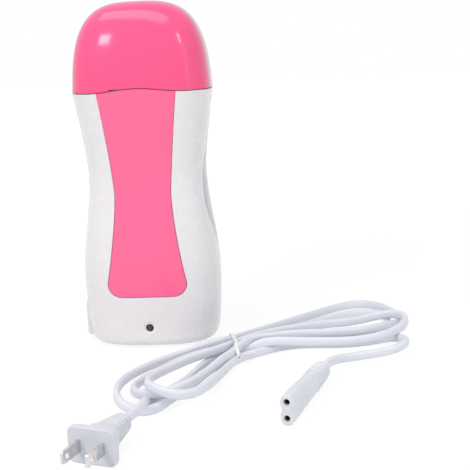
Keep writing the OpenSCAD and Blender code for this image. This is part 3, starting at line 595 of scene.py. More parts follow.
class WAXHEATER_OT_stage(bpy.types.Operator):
    """Sets the camera, the lamps, the white surround and the table"""

    bl_idname = "wax_heater.stage"
    bl_label = "Stage"

    def execute(self, context):
        s = context.scene.heater_studio
        forward = Vector((-math.sin(s.heading) * math.cos(s.pitch), math.cos(s.heading) * math.cos(s.pitch),
                          -math.sin(s.pitch)))
        right = Vector((math.cos(s.heading), math.sin(s.heading), 0))
        right = math.cos(s.roll) * right + math.sin(s.roll) * right.cross(forward)
        clear_selection()
        bpy.ops.object.camera_add(location=s.camera_at)
        camera = context.active_object
        camera.name = "photo_camera"
        camera.data.lens = s.lens
        camera.data.sensor_width = 36.0
        camera.data.clip_start = 0.01
        camera.matrix_world = aim(s.camera_at, forward, right)
        context.scene.camera = camera
        context.scene.view_settings.view_transform = "Standard"
        for name, at, target, size, setting, share, mirrored in LAMPS:
            area_lamp(name, at, target, size, getattr(s, setting) * share, mirrored)
        self.surround(context)
        self.table()
        return {"FINISHED"}

    def surround(self, context):
        world = bpy.data.worlds.new("studio_surround")
        context.scene.world = world
        world.use_nodes = True
        tree = world.node_tree
        tree.nodes.clear()
        white = add_node(tree, "Background", Color=(1, 1, 1, 1), Strength=1.0)
        soft = add_node(tree, "Background", Color=(1, 1, 1, 1), Strength=0.42)
        mixed_out(tree, "World", background_rays(tree), soft, white)

    def table(self):
        clear_selection()
        bpy.ops.mesh.primitive_plane_add(size=6.0, location=(0, 0, -0.0002))  # just under the feet
        table = named("table")
        material = bpy.data.materials.new("white_table")
        material.use_nodes = True
        tree = material.node_tree
        tree.nodes.clear()
        plain = add_node(tree, "BsdfDiffuse", Color=(0.86, 0.86, 0.87, 1))
        glow = add_node(tree, "Emission", Color=(1, 1, 1, 1), Strength=1.08)
        away = tree.nodes.new("ShaderNodeVectorMath")
        away.operation = "LENGTH"
        tree.links.new(add_node(tree, "TexCoord").outputs["Object"], away.inputs[0])
        far = spread(tree, away.outputs["Value"], 0.8, 1.0, 0.25, 0.8)
        mixed_out(tree, "Material", joined(tree, "MULTIPLY", background_rays(tree), far), plain, glow)
        table.data.materials.append(material)


# ---- cord ----

# the cord's route in millimetres, from the plug's relief to the connector's
ROUTE = [
    (7.7, -168.1, 9.1), (10.2, -160.4, 9.1), (12, -154.8, 9.15), (13.1, -150.4, 9.2), (13.5, -145.2, 8.8),
    (13.1, -137.4, 7.2), (14.3, -130.4, 3.6), (17.4, -120.3, 2.8), (22.3, -111.1, 2.8), (27.5, -100.7, 2.8),
    (32.1, -87, 2.8), (36.9, -70.4, 2.8), (42.9, -58, 2.8), (51.6, -47, 2.8), (61.2, -37.6, 2.8),
    (73.7, -30.9, 2.8), (89.9, -25.7, 2.8), (105.5, -22.2, 2.8), (121.1, -19, 2.9), (133.8, -15.5, 2.9),
    (142.5, -9.4, 3.2), (148.5, 0.4, 3.8), (149.6, 12.2, 4), (145, 23, 4), (135.3, 28.3, 3.5),
    (122.9, 25.5, 2.9), (106, 12.9, 2.9), (89.7, -1.1, 2.9), (73.2, -15.8, 2.8), (60.5, -29.7, 2.8),
    (50.1, -38.9, 2.8), (40.4, -44, 2.8), (32.2, -50, 2.8), (24.8, -58.4, 2.8), (17.3, -69.9, 2.8),
    (10.5, -83.5, 3), (5.7, -94.9, 3.5), (3.1, -105.5, 4.3), (4.1, -116.1, 5.3), (8.6, -125.3, 6.8),
    (15.7, -129.7, 8.3), (22.5, -130, 9.1), (28.3, -127.4, 9.9), (33.3, -121.6, 10.2), (37.6, -112.1, 9.8),
    (41.7, -100.4, 9.3), (45.6, -86.8, 8.8), (49.6, -74.7, 8.6), (54.2, -63.3, 8.5), (59.3, -49.7, 8.9),
    (65, -39.9, 8.3), (74.9, -33, 7.7), (87.7, -28.5, 7.5), (102.4, -26.7, 7.3), (117.9, -25.3, 7.2),
    (133.5, -21.3, 7.2), (146.5, -13.6, 7.1), (155, -3.8, 5.9), (157.8, 8.6, 4.7), (155.3, 22, 4.5),
    (149.8, 34.6, 4.4), (142.5, 43.9, 4.3), (133.5, 47.7, 4), (123.1, 45.5, 3.5), (111.9, 37.5, 3.2),
    (99.4, 25.8, 3), (86.2, 12.2, 3.1), (72.7, -2.7, 3.5), (60.7, -18.8, 4.9), (50.1, -32.9, 6.3),
    (39.1, -39.4, 6), (30.1, -44.7, 4.5), (20.2, -53.3, 3.5), (11.1, -63.4, 3.5), (3.6, -75.6, 3.8),
    (-1.9, -88.2, 4.4), (-4.7, -101.5, 5.4), (-5.2, -115, 6.2), (-3.4, -126.8, 6.4), (0.1, -134.3, 5.4),
    (5.9, -138.4, 3.8), (12.5, -139, 2.8), (18.9, -136.2, 3.2), (23.7, -129.7, 4.1), (27.5, -119.8, 3.8),
    (31.5, -109, 3.6), (35.6, -97.3, 3.3), (39.8, -84.1, 3), (44.4, -71.9, 2.8), (48.9, -62.4, 2.8),
    (53.5, -54.6, 2.9), (61.2, -48.4, 4), (68.8, -45, 7), (78.4, -44.9, 8.5), (91.2, -45.7, 8.5),
    (106.7, -47.6, 8.7), (121.5, -48.4, 8.9), (135.2, -45.9, 9.5), (146.3, -39.5, 10.3), (154.7, -28.9, 10.9),
    (158.9, -16.3, 11.2), (157.2, -4.1, 11), (149.6, 2.5, 10), (139.4, 2.6, 8.2), (125, -2.8, 7),
    (108.9, -6.3, 6.8), (93, -13.3, 7), (77.5, -22.9, 7.5), (63.6, -35.6, 8), (52.6, -49.1, 8.2),
    (45.2, -58, 8.4), (37.2, -66.8, 8.5), (28.7, -78.5, 9), (21.3, -92.8, 9.9), (15.9, -106, 11.1),
    (13.2, -117.5, 12.4), (13.9, -127.4, 13.3), (18, -134.1, 13.2), (24.6, -137.6, 12.1), (31.8, -137, 10.5),
    (38.7, -131.4, 9.5), (43.1, -119.4, 8.1), (46.6, -104, 6.3), (49.6, -87.9, 4.9), (53, -74.1, 4.4),
    (57.3, -62.8, 4.1), (65.3, -52, 3.3), (75.9, -41.8, 2.8), (90, -34.9, 2.9), (106.8, -33.8, 2.8),
    (122.1, -33.6, 2.8), (136.3, -30.1, 2.9), (146.2, -29.6, 4.3), (152.5, -33.3, 5.6), (156.2, -40.1, 6.3),
    (155.5, -48.2, 6.6), (150.2, -55, 6.2), (141, -58.6, 5.1), (130.1, -61.2, 4.3), (121.3, -64.8, 4.3),
    (115, -70.3, 5.2), (111.3, -77.7, 6.5), (108.6, -86.4, 8), (106.1, -94.4, 8)]


def natural_spline(knots, values, at):
    """Values of a natural cubic spline through the knots."""
    n = len(knots)
    h = np.diff(knots)
    a = np.zeros((n, n))
    b = np.zeros((n, values.shape[1]))
    a[0, 0] = a[-1, -1] = 1.0
    for i in range(1, n - 1):
        a[i, i - 1], a[i, i], a[i, i + 1] = h[i - 1], 2 * (h[i - 1] + h[i]), h[i]
        b[i] = 6 * ((values[i + 1] - values[i]) / h[i] - (values[i] - values[i - 1]) / h[i - 1])
    m = np.linalg.solve(a, b)
    k = np.clip(np.searchsorted(knots, at, side="right") - 1, 0, n - 2)
    t = (at - knots[k])[:, None]
    hk = h[k][:, None]
    return (m[k] * (hk - t) ** 3 / (6 * hk) + m[k + 1] * t ** 3 / (6 * hk)
            + (values[k] / hk - m[k] * hk / 6) * (hk - t) + (values[k + 1] / hk - m[k + 1] * hk / 6) * t)


def even_route(points, step):
    """Points at even steps along a smooth curve through the route."""
    points = np.array(points, float)
    knots = np.r_[0, np.cumsum(np.linalg.norm(np.diff(points, axis=0), axis=1) ** 0.5)]
    dense = natural_spline(knots, points, np.linspace(0, knots[-1], len(points) * 24))
    along = np.r_[0, np.cumsum(np.linalg.norm(np.diff(dense, axis=0), axis=1))]
    count = int(along[-1] / step) + 1
    where = np.linspace(0, along[-1], count)
    return np.stack([np.interp(where, along, dense[:, k]) for k in range(3)], axis=1), along[-1]


def bent(values, power):
    """Raises values to a power and keeps their signs."""
    return np.sign(values) * np.abs(values) ** power


def swept(name, path, section, lean):
    """A tube: section is a closed outline (across, up), leaned about the path by lean at each point."""
    along = np.gradient(path, axis=0)
    along /= np.linalg.norm(along, axis=1)[:, None]
    across = np.cross(np.array([0, 0, 1.0]), along)
    across /= np.linalg.norm(across, axis=1)[:, None]
    up = np.cross(along, across)
    c, s = np.cos(lean)[:, None], np.sin(lean)[:, None]
    side, top = c * across + s * up, -s * across + c * up
    sides = len(section)
    verts = np.concatenate([path[:, None, :] + side[:, None, :] * section[None, :, :1]
                            + top[:, None, :] * section[None, :, 1:]], axis=1).reshape(-1, 3) * MM
    rings = len(path)
    faces = [(k + i, k + (i + 1) % sides, k + sides + (i + 1) % sides, k + sides + i)
             for k in range(0, (rings - 1) * sides, sides) for i in range(sides)]
    faces.append(tuple(reversed(range(sides))))
    faces.append(tuple((rings - 1) * sides + i for i in range(sides)))
    mesh = bpy.data.meshes.new(name)
    mesh.from_pydata([tuple(v) for v in verts], [], faces)
    layer = mesh.uv_layers.new(name="along")
    step = float(np.linalg.norm(path[1] - path[0]))
    for face in mesh.polygons:
        for corner, vert in zip(face.loop_indices, face.vertices):
            ring, i = divmod(vert, sides)
            u = i / sides
            if i == 0 and any(v % sides == sides - 1 for v in face.vertices):
                u = 1.0
            layer.data[corner].uv = (u, ring * step / 20.0)
    piece = bpy.data.objects.new(name, mesh)
    bpy.context.scene.collection.objects.link(piece)
    edit_mesh(piece)
    bpy.ops.mesh.select_all(action="SELECT")
    bpy.ops.mesh.normals_make_consistent(inside=False)
    bpy.ops.object.mode_set(mode="OBJECT")
    pick(piece)
    bpy.ops.object.shade_smooth_by_angle(angle=math.radians(50))
    return piece


def cord_finish():
    """Soft vinyl sheath: streaks along the cord, a low sheen and slight scuffs."""
    colour = tuple(finish().cord)
    material, tree, shader, where = new_finish("cord_vinyl")
    follow = tree.nodes.new("ShaderNodeUVMap")
    follow.uv_map = "along"
    streak = noise(tree, scaled(tree, follow.outputs["UV"], (40.0, 1.2, 1.0)), 1.0)
    tree.links.new(tint(tree, spread(tree, streak, 0, 1), shade(colour, 0.97), shade(colour, 1.02)),
                   shader.inputs["Base Color"])
    tree.links.new(spread(tree, noise(tree, where, 90.0, 4.0), 0.34, 0.5), shader.inputs["Roughness"])
    relief(tree, shader, streak, 0.35, 0.00004)
    shader.inputs["Subsurface Weight"].default_value = 0.05
    shader.inputs["Subsurface Radius"].default_value = (0.002, 0.002, 0.002)
    return material


class WAXHEATER_OT_cord(bpy.types.Operator):
    """Lays the tied flat cord from the plug to the connector"""

    bl_idname = "wax_heater.cord"
    bl_label = "Cord"

    def execute(self, context):
        s = context.scene.heater_cord
        path, length = even_route(ROUTE, s.step)
        along = np.arange(len(path)) * s.step
        ends = np.clip(np.minimum(along, length - along) / 30, 0, 1)
        lean = math.radians(9) * ends * (np.sin(along / 41) + 0.6 * np.sin(along / 17 + 1))
        a = np.linspace(0, 2 * math.pi, 21)[:-1] + math.pi / 20
        section = np.stack([bent(np.cos(a), 0.85) * s.thickness, bent(np.sin(a), 0.85) * s.width], axis=1) / 2
        section[:, 0] *= 1 - 0.07 * np.exp(-(section[:, 1] / 0.8) ** 2)
        cord = swept("mains_cord", path, section, lean)
        dress(cord, cord_finish(), "heater", "cord_white", "plug_lead", "cord_hank", "connector_lead")
        return {"FINISHED"}


# the plug, the connector and the standard sizes of their metal, in millimetres and degrees
PLUG_AT, PLUG_TURN, PLUG_END = (-2, -198, 9.1), -108, -31.5
BLADE_APART, BLADE_L, BLADE_HALF_W, BLADE_HALF_T = 12.7, 15.2, 3.1, 0.75
BLADE_HOLE_AT, BLADE_HOLE_R = 11.3, 1.5
CONNECTOR_AT, CONNECTOR_TURN, CONNECTOR_END = (87.2, -154.5, 8.05), 72.5, 63.0
PIN_PITCH, PIN_HOLE_R = 8.6, 1.75
# one rib of a strain relief: share of its length, depth of the groove there in millimetres
RIB = ((0, 0.12), (0.05, 0), (0.5, 0), (0.57, 0.12), (0.62, 0.5), (0.67, 1), (0.88, 1), (0.94, 0.5))


def ribbed(start, stop, w0, h0, w1, h1, ribs):
    """Sections of a strain relief: (place, half width, half height), with one groove for each rib."""
    steps = []
    for k in range(ribs):
        for e, deep in RIB:
            u = (k + e) / ribs
            steps.append((start + (stop - start) * u, w0 + (w1 - w0) * u - deep, h0 + (h1 - h0) * u - deep))
    return steps


class WAXHEATER_OT_plug(bpy.types.Operator):
    """Moulds the plug with its ribbed relief and its two blades"""

    bl_idname = "wax_heater.plug"
    bl_label = "Plug"

    def execute(self, context):
        w, h, end = 12.5, 9.1, PLUG_END
        steps = [(0, w - 1.2, h - 1.2, 7), (0, w - 0.6, h - 0.6, 7), (-0.12, w - 0.25, h - 0.25, 7),
                 (-0.4, w, h, 7), (-3.5, w, h, 7), (-3.8, w - 0.12, h - 0.12, 7), (-4.0, w - 0.5, h - 0.5, 7),
                 (-4.1, w - 1.8, h - 1.2, 6), (-4.2, w - 3.0, h - 1.9, 5), (-4.6, w - 3.4, h - 2.2, 4.5),
                 (-8.5, w - 4.0, h - 2.4, 4), (-12.4, w - 4.5, h - 2.6, 4), (-13.0, w - 4.8, h - 2.8, 4)]
        steps += [(*s, 3) for s in ribbed(-13.5, end + 0.4, w - 5, h - 2.9, 4.6, 4.6, 5)]
        steps += [(end + 0.25, 4.5, 4.5, 3), (end, 3.8, 3.8, 3)]
        rings = [[(x, p[0], p[1]) for p in oval(a, b, n, 88)] for x, a, b, n in steps]
        plug = move_points(smooth(loft("plug", rings), 40), PLUG_TURN, PLUG_AT)
        vinyl = moulded("plug_vinyl", shade(finish().cord, 0.88), gloss=(0.34, 0.46), grain=700.0,
                        depth=0.00003)
        dress(plug, vinyl, "heater", "plug_white", "plug_body")
        steel = metal("blade_steel", tuple(finish().steel))
        blades = [self.blade(side, steel) for side in (-1, 1)]
        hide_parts("plug_blades")
        return {"FINISHED"}

    def blade(self, side, steel):
        y = side * BLADE_APART / 2
        blade = block(f"blade_{'lower' if side < 0 else 'upper'}", (-7, y - BLADE_HALF_T, -BLADE_HALF_W),
                      (BLADE_L, y + BLADE_HALF_T, BLADE_HALF_W))
        edit_mesh(blade)
        bevel_open(blade, lambda a, b: min(a.x, b.x) > 15 and abs(a.z - b.z) < 1e-3, 0.9, 3)
        carve(blade, drum("hole", (BLADE_HOLE_AT, y, 0), BLADE_HOLE_R, 6, (math.pi / 2, 0, 0), 32))
        apply_modifier(blade, "BEVEL", "Edges", width=0.00014, segments=2, limit_method="ANGLE")
        move_points(smooth(blade, 35), PLUG_TURN, PLUG_AT)
        return dress(blade, steel, "heater", "blade_steel")


class WAXHEATER_OT_connector(bpy.types.Operator):
    """Moulds the two-pole connector with its lobes, holes and ribbed relief"""

    bl_idname = "wax_heater.connector"
    bl_label = "Connector"

    def execute(self, context):
        w, h, end = 3.75, 8.05, CONNECTOR_END
        steps = [(0, w - 1.2, h - 1.2, 0.36), (0, w - 0.55, h - 0.55, 0.34), (0.12, w - 0.25, h - 0.25, 0.32),
                 (0.4, w - 0.06, h - 0.06, 0.31), (0.8, w, h, 0.3), (8, w, h, 0.3), (13, w, h, 0.28),
                 (16.5, w + 0.05, h - 0.25, 0.21), (20, w + 0.1, h - 0.6, 0.12), (24, w + 0.2, h - 1.0, 0.04),
                 (28, w + 0.3, h - 1.4, 0), (35, w + 0.4, h - 1.75, 0), (end - 21, w + 0.5, h - 2.1, 0)]
        steps += [(*s, 0) for s in ribbed(end - 20.6, end - 0.4, w + 0.8, h - 1.7, 4.4, 4.8, 4)]
        steps += [(end - 0.3, 4.2, 4.6, 0), (end, 3.6, 4.0, 0)]
        rings = []
        for x, a, b, pinch in steps:
            ring = []
            for p in oval(a, b, 2.9, 72):
                near = math.cos(math.pi / 2 * min(1, abs(p[1]) / 3.6)) ** 2
                ring.append((x, p[0] * (1 - pinch * near), p[1]))
            rings.append(ring)
        body = loft("connector", rings)
        for side in (-1, 1):
            hole_at = (6.5, 0, side * PIN_PITCH / 2)
            carve(body, drum("hole", hole_at, PIN_HOLE_R, 16, (0, math.pi / 2, 0), 40))
        move_points(smooth(body, 40), CONNECTOR_TURN, CONNECTOR_AT)
        vinyl = moulded("connector_vinyl", shade(finish().cord, 0.94), gloss=(0.34, 0.46), grain=700.0,
                        depth=0.00003)
        dress(body, vinyl, "heater", "plug_white", "connector_body")
        return {"FINISHED"}


# the wire tie, in millimetres and degrees: the middle of its loop, its turn and half its size
TIE_AT, TIE_TURN, TIE_HALF_W, TIE_HALF_H, TIE_Z = (53.7, -48.0), 12, 18.7, 5.5, 6.1
TIE_WIRE_R, TAIL_TWISTS = 0.55, 4.5
TAIL_ROUTE = [(56.1, -61.6, 8.2), (58.1, -62.3, 6.8), (61.1, -60.3, 5.4), (65.2, -54.4, 4.6),
              (69.7, -48.6, 4.2), (74.4, -43.3, 4.0)]


class WAXHEATER_OT_tie(bpy.types.Operator):
    """Winds the wire tie round the bundle and lets its twisted tail lie in front"""

    bl_idname = "wax_heater.tie"
    bl_label = "Wire tie"

    def execute(self, context):
        c, s = math.cos(math.radians(TIE_TURN)), math.sin(math.radians(TIE_TURN))
        ahead, aside = np.array([c, s]), np.array([-s, c])
        a = np.linspace(0.62 * math.pi, 4.62 * math.pi, 121)
        wide = bent(np.cos(a), 0.7) * TIE_HALF_W
        tall = bent(np.sin(a), 0.8) * TIE_HALF_H + TIE_Z
        drift = (a - a[0]) / (a[-1] - a[0]) * 1.7 - 0.8
        loop = np.c_[TIE_AT + aside * wide[:, None] + ahead * drift[:, None], tall]
        round_at = np.linspace(0, 2 * math.pi, 11)[:-1]
        wire = TIE_WIRE_R * np.stack([np.cos(round_at), np.sin(round_at)], axis=1)
        ring = swept("tie_loop", loop, wire, np.zeros(len(loop)))
        strands = []
        route, _ = even_route(TAIL_ROUTE, 0.25)
        side, up = np.array([-0.3, 0.95, 0.0]), np.array([0, 0, 1.0])
        for k in range(2):
            spin = (np.linspace(0, 2 * TAIL_TWISTS, len(route)) + k) * math.pi
            twist = route + 0.5 * (np.cos(spin)[:, None] * side + np.sin(spin)[:, None] * up)
            strands.append(swept(f"tie_tail_{k}", twist, wire * 0.9, np.zeros(len(route))))
        clear_selection()
        for piece in (ring, *strands):
            piece.select_set(True)
        context.view_layer.objects.active = ring
        bpy.ops.object.join()
        ring.name = ring.data.name = "wire_tie"
        coating = moulded("tie_coat", (0.83, 0.83, 0.85), gloss=(0.18, 0.28), grain=500.0, coat=0.3)
        dress(ring, coating, "heater", "tie_wire", "twist_tie")
        return {"FINISHED"}


# ---- body ----

# places on the body, in millimetres
WINDOW_FOOT, WINDOW_TOP, PARTING_Y = 57.0, 152.0, 9.0
WINDOW_AHEAD, WINDOW_BEHIND = 21.5, 12  # widest reach from the parting line
PANEL_T, POCKET_DEPTH = 1.35, 1.4
PANEL_FOOT, PANEL_WAIST, PANEL_CORNER = 34.0, 96.0, 8.0
PANEL_HALF_FOOT, PANEL_HALF_WAIST, PANEL_HALF_TOP = 24.4, 17.1, 23.8
INLET_Z, INLET_FACE, INLET_HALF = 13.5, -44.2, 8.95
LENS_Z, LENS_R, LENS_HOLE_R = 13.8, 2.4, 2.5
SCREW_AT, SCREW_WELL_R = (27, 33.1, 34), 2.9


def body_ring(share, inset, drop=0.0):
    """A ring of the body's skin: share is its height from foot to seam."""
    s = sizes()
    ring = []
    for i in range(s.around):
        p = lobe(2 * math.pi * (i + 0.5) / s.around, s.squareness)
        top = seam_at(s.seam_w * p[0])
        z = BASE_Z + (top - BASE_Z) * share
        ring.append(((out_w(z) - inset) * p[0], (out_d(z) - inset) * p[1], z - drop))
    return ring


def body_skin(name):
    """The whole body wall, with a rounded rim under the cap."""
    s = sizes()
    tall = s.seam_z - BASE_Z
    foot = s.foot_round / tall
    rounded = [foot * (1 - math.cos(math.pi / 2 * k / 9)) for k in range(9)]
    outer = rounded + [foot + (1 - foot) * k / 62 for k in range(62)]
    rings = [body_ring(u, 0) for u in outer]
    rings += [body_ring(1, 0, 0.3), body_ring(1, 0.06, 0.12), body_ring(1, 0.2, 0.03), body_ring(1, 0.45, 0)]
    rings += [body_ring(1, s.wall - 0.3, 0), body_ring(1, s.wall, 0.3)]
    lip = 2.7 / tall
    rings += [body_ring(lip + (1 - lip) * k / 12, s.wall) for k in range(11, -1, -1)]
    w, d = out_w(BASE_Z) - 1.3, out_d(BASE_Z) - 1.3
    rings += [[(x, y, z) for x, y in oval(w, d)] for z in (BASE_Z + 2.7, BASE_Z)]
    return loft(name, rings, tube=True)


def split(piece, y, keep_front):
    """Keeps the front or rear half of the body and breaks the edge of its parting line."""
    edit_mesh(piece)
    bpy.ops.mesh.select_all(action="SELECT")
    bpy.ops.mesh.bisect(plane_co=(0, y * MM, 0), plane_no=(0, 1, 0), use_fill=True,
                        clear_outer=keep_front, clear_inner=not keep_front)

    def on_parting_line(a, b):
        if abs(a.y - y) > 1e-3 or abs(b.y - y) > 1e-3:
            return False
        middle = (a + b) / 2
        z = min(middle.z, seam_at(middle.x) - 0.01)
        return middle.z > 3 and abs(abs(middle.x) - side_at(y, z)) < 0.05

    bevel_open(piece, on_parting_line, 0.18, 2)
    return piece


def window_reach(z):
    """How far a window reaches from the parting line, as a share of its most."""
    u = min(max((z - WINDOW_FOOT) / (WINDOW_TOP - WINDOW_FOOT), 0), 1)
    return math.sin(math.pi * u ** 0.7)


def window_layer(side, inset, spare, rows, cols):
    """Points of a window's grid, inset from the flank and kept a spare width inside its outline."""
    def at(r, c):
        u = (r + 0.35) / (rows - 0.3)
        z = WINDOW_FOOT + (WINDOW_TOP - WINDOW_FOOT) * u
        reach = window_reach(z)
        a, b = PARTING_Y - WINDOW_AHEAD * reach + spare, PARTING_Y + WINDOW_BEHIND * reach - spare
        y = a + (b - a) * c / (cols - 1)
        return (side * side_at(y, z, inset), y, z)
    return at


def panel_half(z):
    """Half width of the hourglass panel at a height."""
    up = z - PANEL_FOOT
    if up < PANEL_CORNER:
        rounding = PANEL_CORNER ** 2 - (PANEL_CORNER - up) ** 2
        return PANEL_HALF_FOOT - PANEL_CORNER + math.sqrt(max(0.0, rounding))
    if z > PANEL_WAIST:
        share = ((z - PANEL_WAIST) / (sizes().seam_z - PANEL_WAIST)) ** 1.25
        return PANEL_HALF_WAIST + (PANEL_HALF_TOP - PANEL_HALF_WAIST) * share
    share = ((PANEL_WAIST - z) / (PANEL_WAIST - PANEL_FOOT - PANEL_CORNER)) ** 1.5
    return PANEL_HALF_WAIST + (PANEL_HALF_FOOT - PANEL_HALF_WAIST) * share


def panel_rows():
    rows = [PANEL_CORNER * (1 - math.cos(math.pi / 2 * k / 14)) for k in range(14)]
    tall = sizes().seam_z - PANEL_FOOT
    return rows + [PANEL_CORNER + (tall - PANEL_CORNER) * k / 54 for k in range(55)]


PANEL_EDGE = [0, 0.1, 0.25, 0.45, 0.7, 1.0]
PANEL_COLS = 2 * len(PANEL_EDGE) + 26


def panel_layer(grow, depth, over=0.0):
    """Points of the panel's outline grid; depth is a number or a function of the distance to the edge."""
    rows = panel_rows()
    tall = sizes().seam_z - PANEL_FOOT

    def at(r, c):
        up = rows[r]
        half = panel_half(PANEL_FOOT + up) + grow
        edge = len(PANEL_EDGE)
        if c < edge:
            x = -half + PANEL_EDGE[c]
        elif c >= PANEL_COLS - edge:
            x = half - PANEL_EDGE[PANEL_COLS - 1 - c]
        else:
            x = (half - 1.0) * (2 * (c - edge + 1) / (PANEL_COLS - 2 * edge + 1) - 1)
        low = PANEL_FOOT - grow
        z = low + (seam_at(x) + over - low) * up / tall
        d = depth
        if callable(depth):
            away = min(half - abs(x), z - low)
            corner_x = PANEL_HALF_FOOT - PANEL_CORNER
            if up < PANEL_CORNER and abs(x) > corner_x:
                corner_z = PANEL_CORNER - (z - PANEL_FOOT)
                away = PANEL_CORNER + grow - math.hypot(abs(x) - corner_x, corner_z)
            d = depth(max(0.0, away))
        return (x, -(front_at(x, min(z, seam_at(x))) - d), z)
    return at


def inlet_boss():
    """The raised surround of the mains inlet, on the left of the foot."""
    foot, top = INLET_Z - INLET_HALF - 0.9, INLET_Z + INLET_HALF + 0.9
    outline = [(INLET_FACE, foot + 1.2), (INLET_FACE + 1.2, foot), (-34.5, foot), (-34.5, top),
               (-40, top + 2), (-41.4, top + 10), (INLET_FACE, top)]
    boss = loft("inlet_boss", [[(x, y, z) for x, z in outline] for y in (-8, 8)])
    edit_mesh(boss)
    bevel_open(boss, lambda a, b: max(a.x, b.x) < -40.5, 0.9, 4)
    return boss


def disc_ring(r, y, count):
    """A ring round the indicator's axis."""
    turns = [2 * math.pi * i / count for i in range(count)]
    return [(r * math.cos(t), y, LENS_Z + r * math.sin(t)) for t in turns]


class WAXHEATER_OT_shells(bpy.types.Operator):
    """Shapes the front and rear shells and cuts their pocket, windows, inlet and indicator recess"""

    bl_idname = "wax_heater.shells"
    bl_label = "Body shells"

    def execute(self, context):
        white = moulded("gloss_white_shell", tuple(finish().shell), gloss=(0.27, 0.276), grain=1200.0,
                        swirl=0.004, coat=0.15)
        front = split(body_skin("shell_front"), PARTING_Y, True)
        carve(front, inlet_boss(), "UNION")
        rows, cols = len(panel_rows()), PANEL_COLS
        steps = ((0.3, POCKET_DEPTH), (0.3, 0.35), (0.62, -0.03), (0.62, -3))
        carve(front, plate("pocket", rows, cols, [panel_layer(grow, depth, 2.0) for grow, depth in steps]))
        carve(front, block("inlet_pocket", (-46, -5.4, INLET_Z - 9.1), (-30, 5.4, INLET_Z + 9.1), 0.6, 3))
        depth = front_at(0, LENS_Z)
        carve(front, drum("lens_hole", (0, -depth, LENS_Z), LENS_HOLE_R, 20, (math.pi / 2, 0, 0), 48))
        recess = [disc_ring(r, -(depth + up), 64) for r, up in ((3.3, -0.55), (4.1, 0.05), (4.6, 3))]
        carve(front, loft("lens_recess", recess))
        rear = split(body_skin("shell_rear"), PARTING_Y + 0.1, False)
        for side in (-1, 1):
            at = (side * SCREW_AT[0], *SCREW_AT[1:])
            carve(rear, drum("screw_well", at, SCREW_WELL_R, 40, (math.pi / 2, 0, 0), 48))
        for shell in (front, rear):
            for side in (-1, 1):
                layers = [window_layer(side, inset, 0, 40, 14) for inset in (6, -4)]
                carve(shell, plate("window_cut", 40, 14, layers))
        for shell, node in ((front, "front_shell"), (rear, "rear_shell")):
            smooth(shell, 30)
            dress(shell, white, "heater", "shell_white", node)
        return {"FINISHED"}


class WAXHEATER_OT_panel(bpy.types.Operator):
    """Shapes the gloss front panel with its rolled edge"""

    bl_idname = "wax_heater.panel"
    bl_label = "Front panel"

    def execute(self, context):
        pink = moulded("gloss_pink_panel", tuple(finish().panel), gloss=(0.2, 0.225), grain=1500.0,
                       depth=0.00001, coat=0.25, swirl=0.008)

        def rolled(away):
            r = 0.55
            return -0.15 + (r - math.sqrt(max(0.0, r * r - (r - min(away, r)) ** 2)))

        layers = [panel_layer(0, PANEL_T), panel_layer(0, rolled)]
        panel = smooth(plate("pink_panel", len(panel_rows()), PANEL_COLS, layers), 40)
        dress(panel, pink, "heater", "panel_pink", "front_panel")
        return {"FINISHED"}


class WAXHEATER_OT_windows(bpy.types.Operator):
    """Shapes the two smoky level windows"""

    bl_idname = "wax_heater.windows"
    bl_label = "Level windows"

    def execute(self, context):
        material, tree, shader, where = new_finish("smoky_window")
        colour = tuple(finish().window)
        cloud = noise(tree, where, 40.0, 3.0)
        tree.links.new(tint(tree, spread(tree, cloud, 0, 1), shade(colour, 0.96), shade(colour, 1.04)),
                       shader.inputs["Base Color"])
        tree.links.new(spread(tree, noise(tree, where, 120.0, 3.0), 0.16, 0.26), shader.inputs["Roughness"])
        relief(tree, shader, noise(tree, where, 900.0, 3.0), 0.15, 0.00002)
        shader.inputs["Transmission Weight"].default_value = 0.25
        shader.inputs["Specular IOR Level"].default_value = 0.25
        shader.inputs["IOR"].default_value = 1.49
        steps = ((2.2, 0.15), (0.25, 0.15), (0.0, 0.4))
        for side, name in ((-1, "left"), (1, "right")):
            layers = [window_layer(side, inset, spare, 48, 16) for inset, spare in steps]
            window = smooth(plate(f"window_{name}", 48, 16, layers), 40)
            dress(window, material, "heater", "window_smoke", f"level_window_{name}")
        return {"FINISHED"}


# ---- cap ----


def cap_ring(q, share, inset, lift=0.0):
    """A ring of the cap: q shrinks its section and share is its height from rim to top."""
    s = sizes()
    ring = []
    for i in range(s.around):
        p = lobe(2 * math.pi * (i + 0.5) / s.around, s.squareness)
        rim = seam_at(s.seam_w * p[0]) + s.cap_gap
        top = s.height - inset if inset > 1 else s.height
        w = (s.seam_w - 0.1 - inset - s.cap_taper * share) * q
        d = (s.depth_ratio * (s.seam_w - 0.1) - inset - s.cap_taper * share) * q
        ring.append((w * p[0], d * p[1], rim + (top - rim) * share + lift))
    return ring


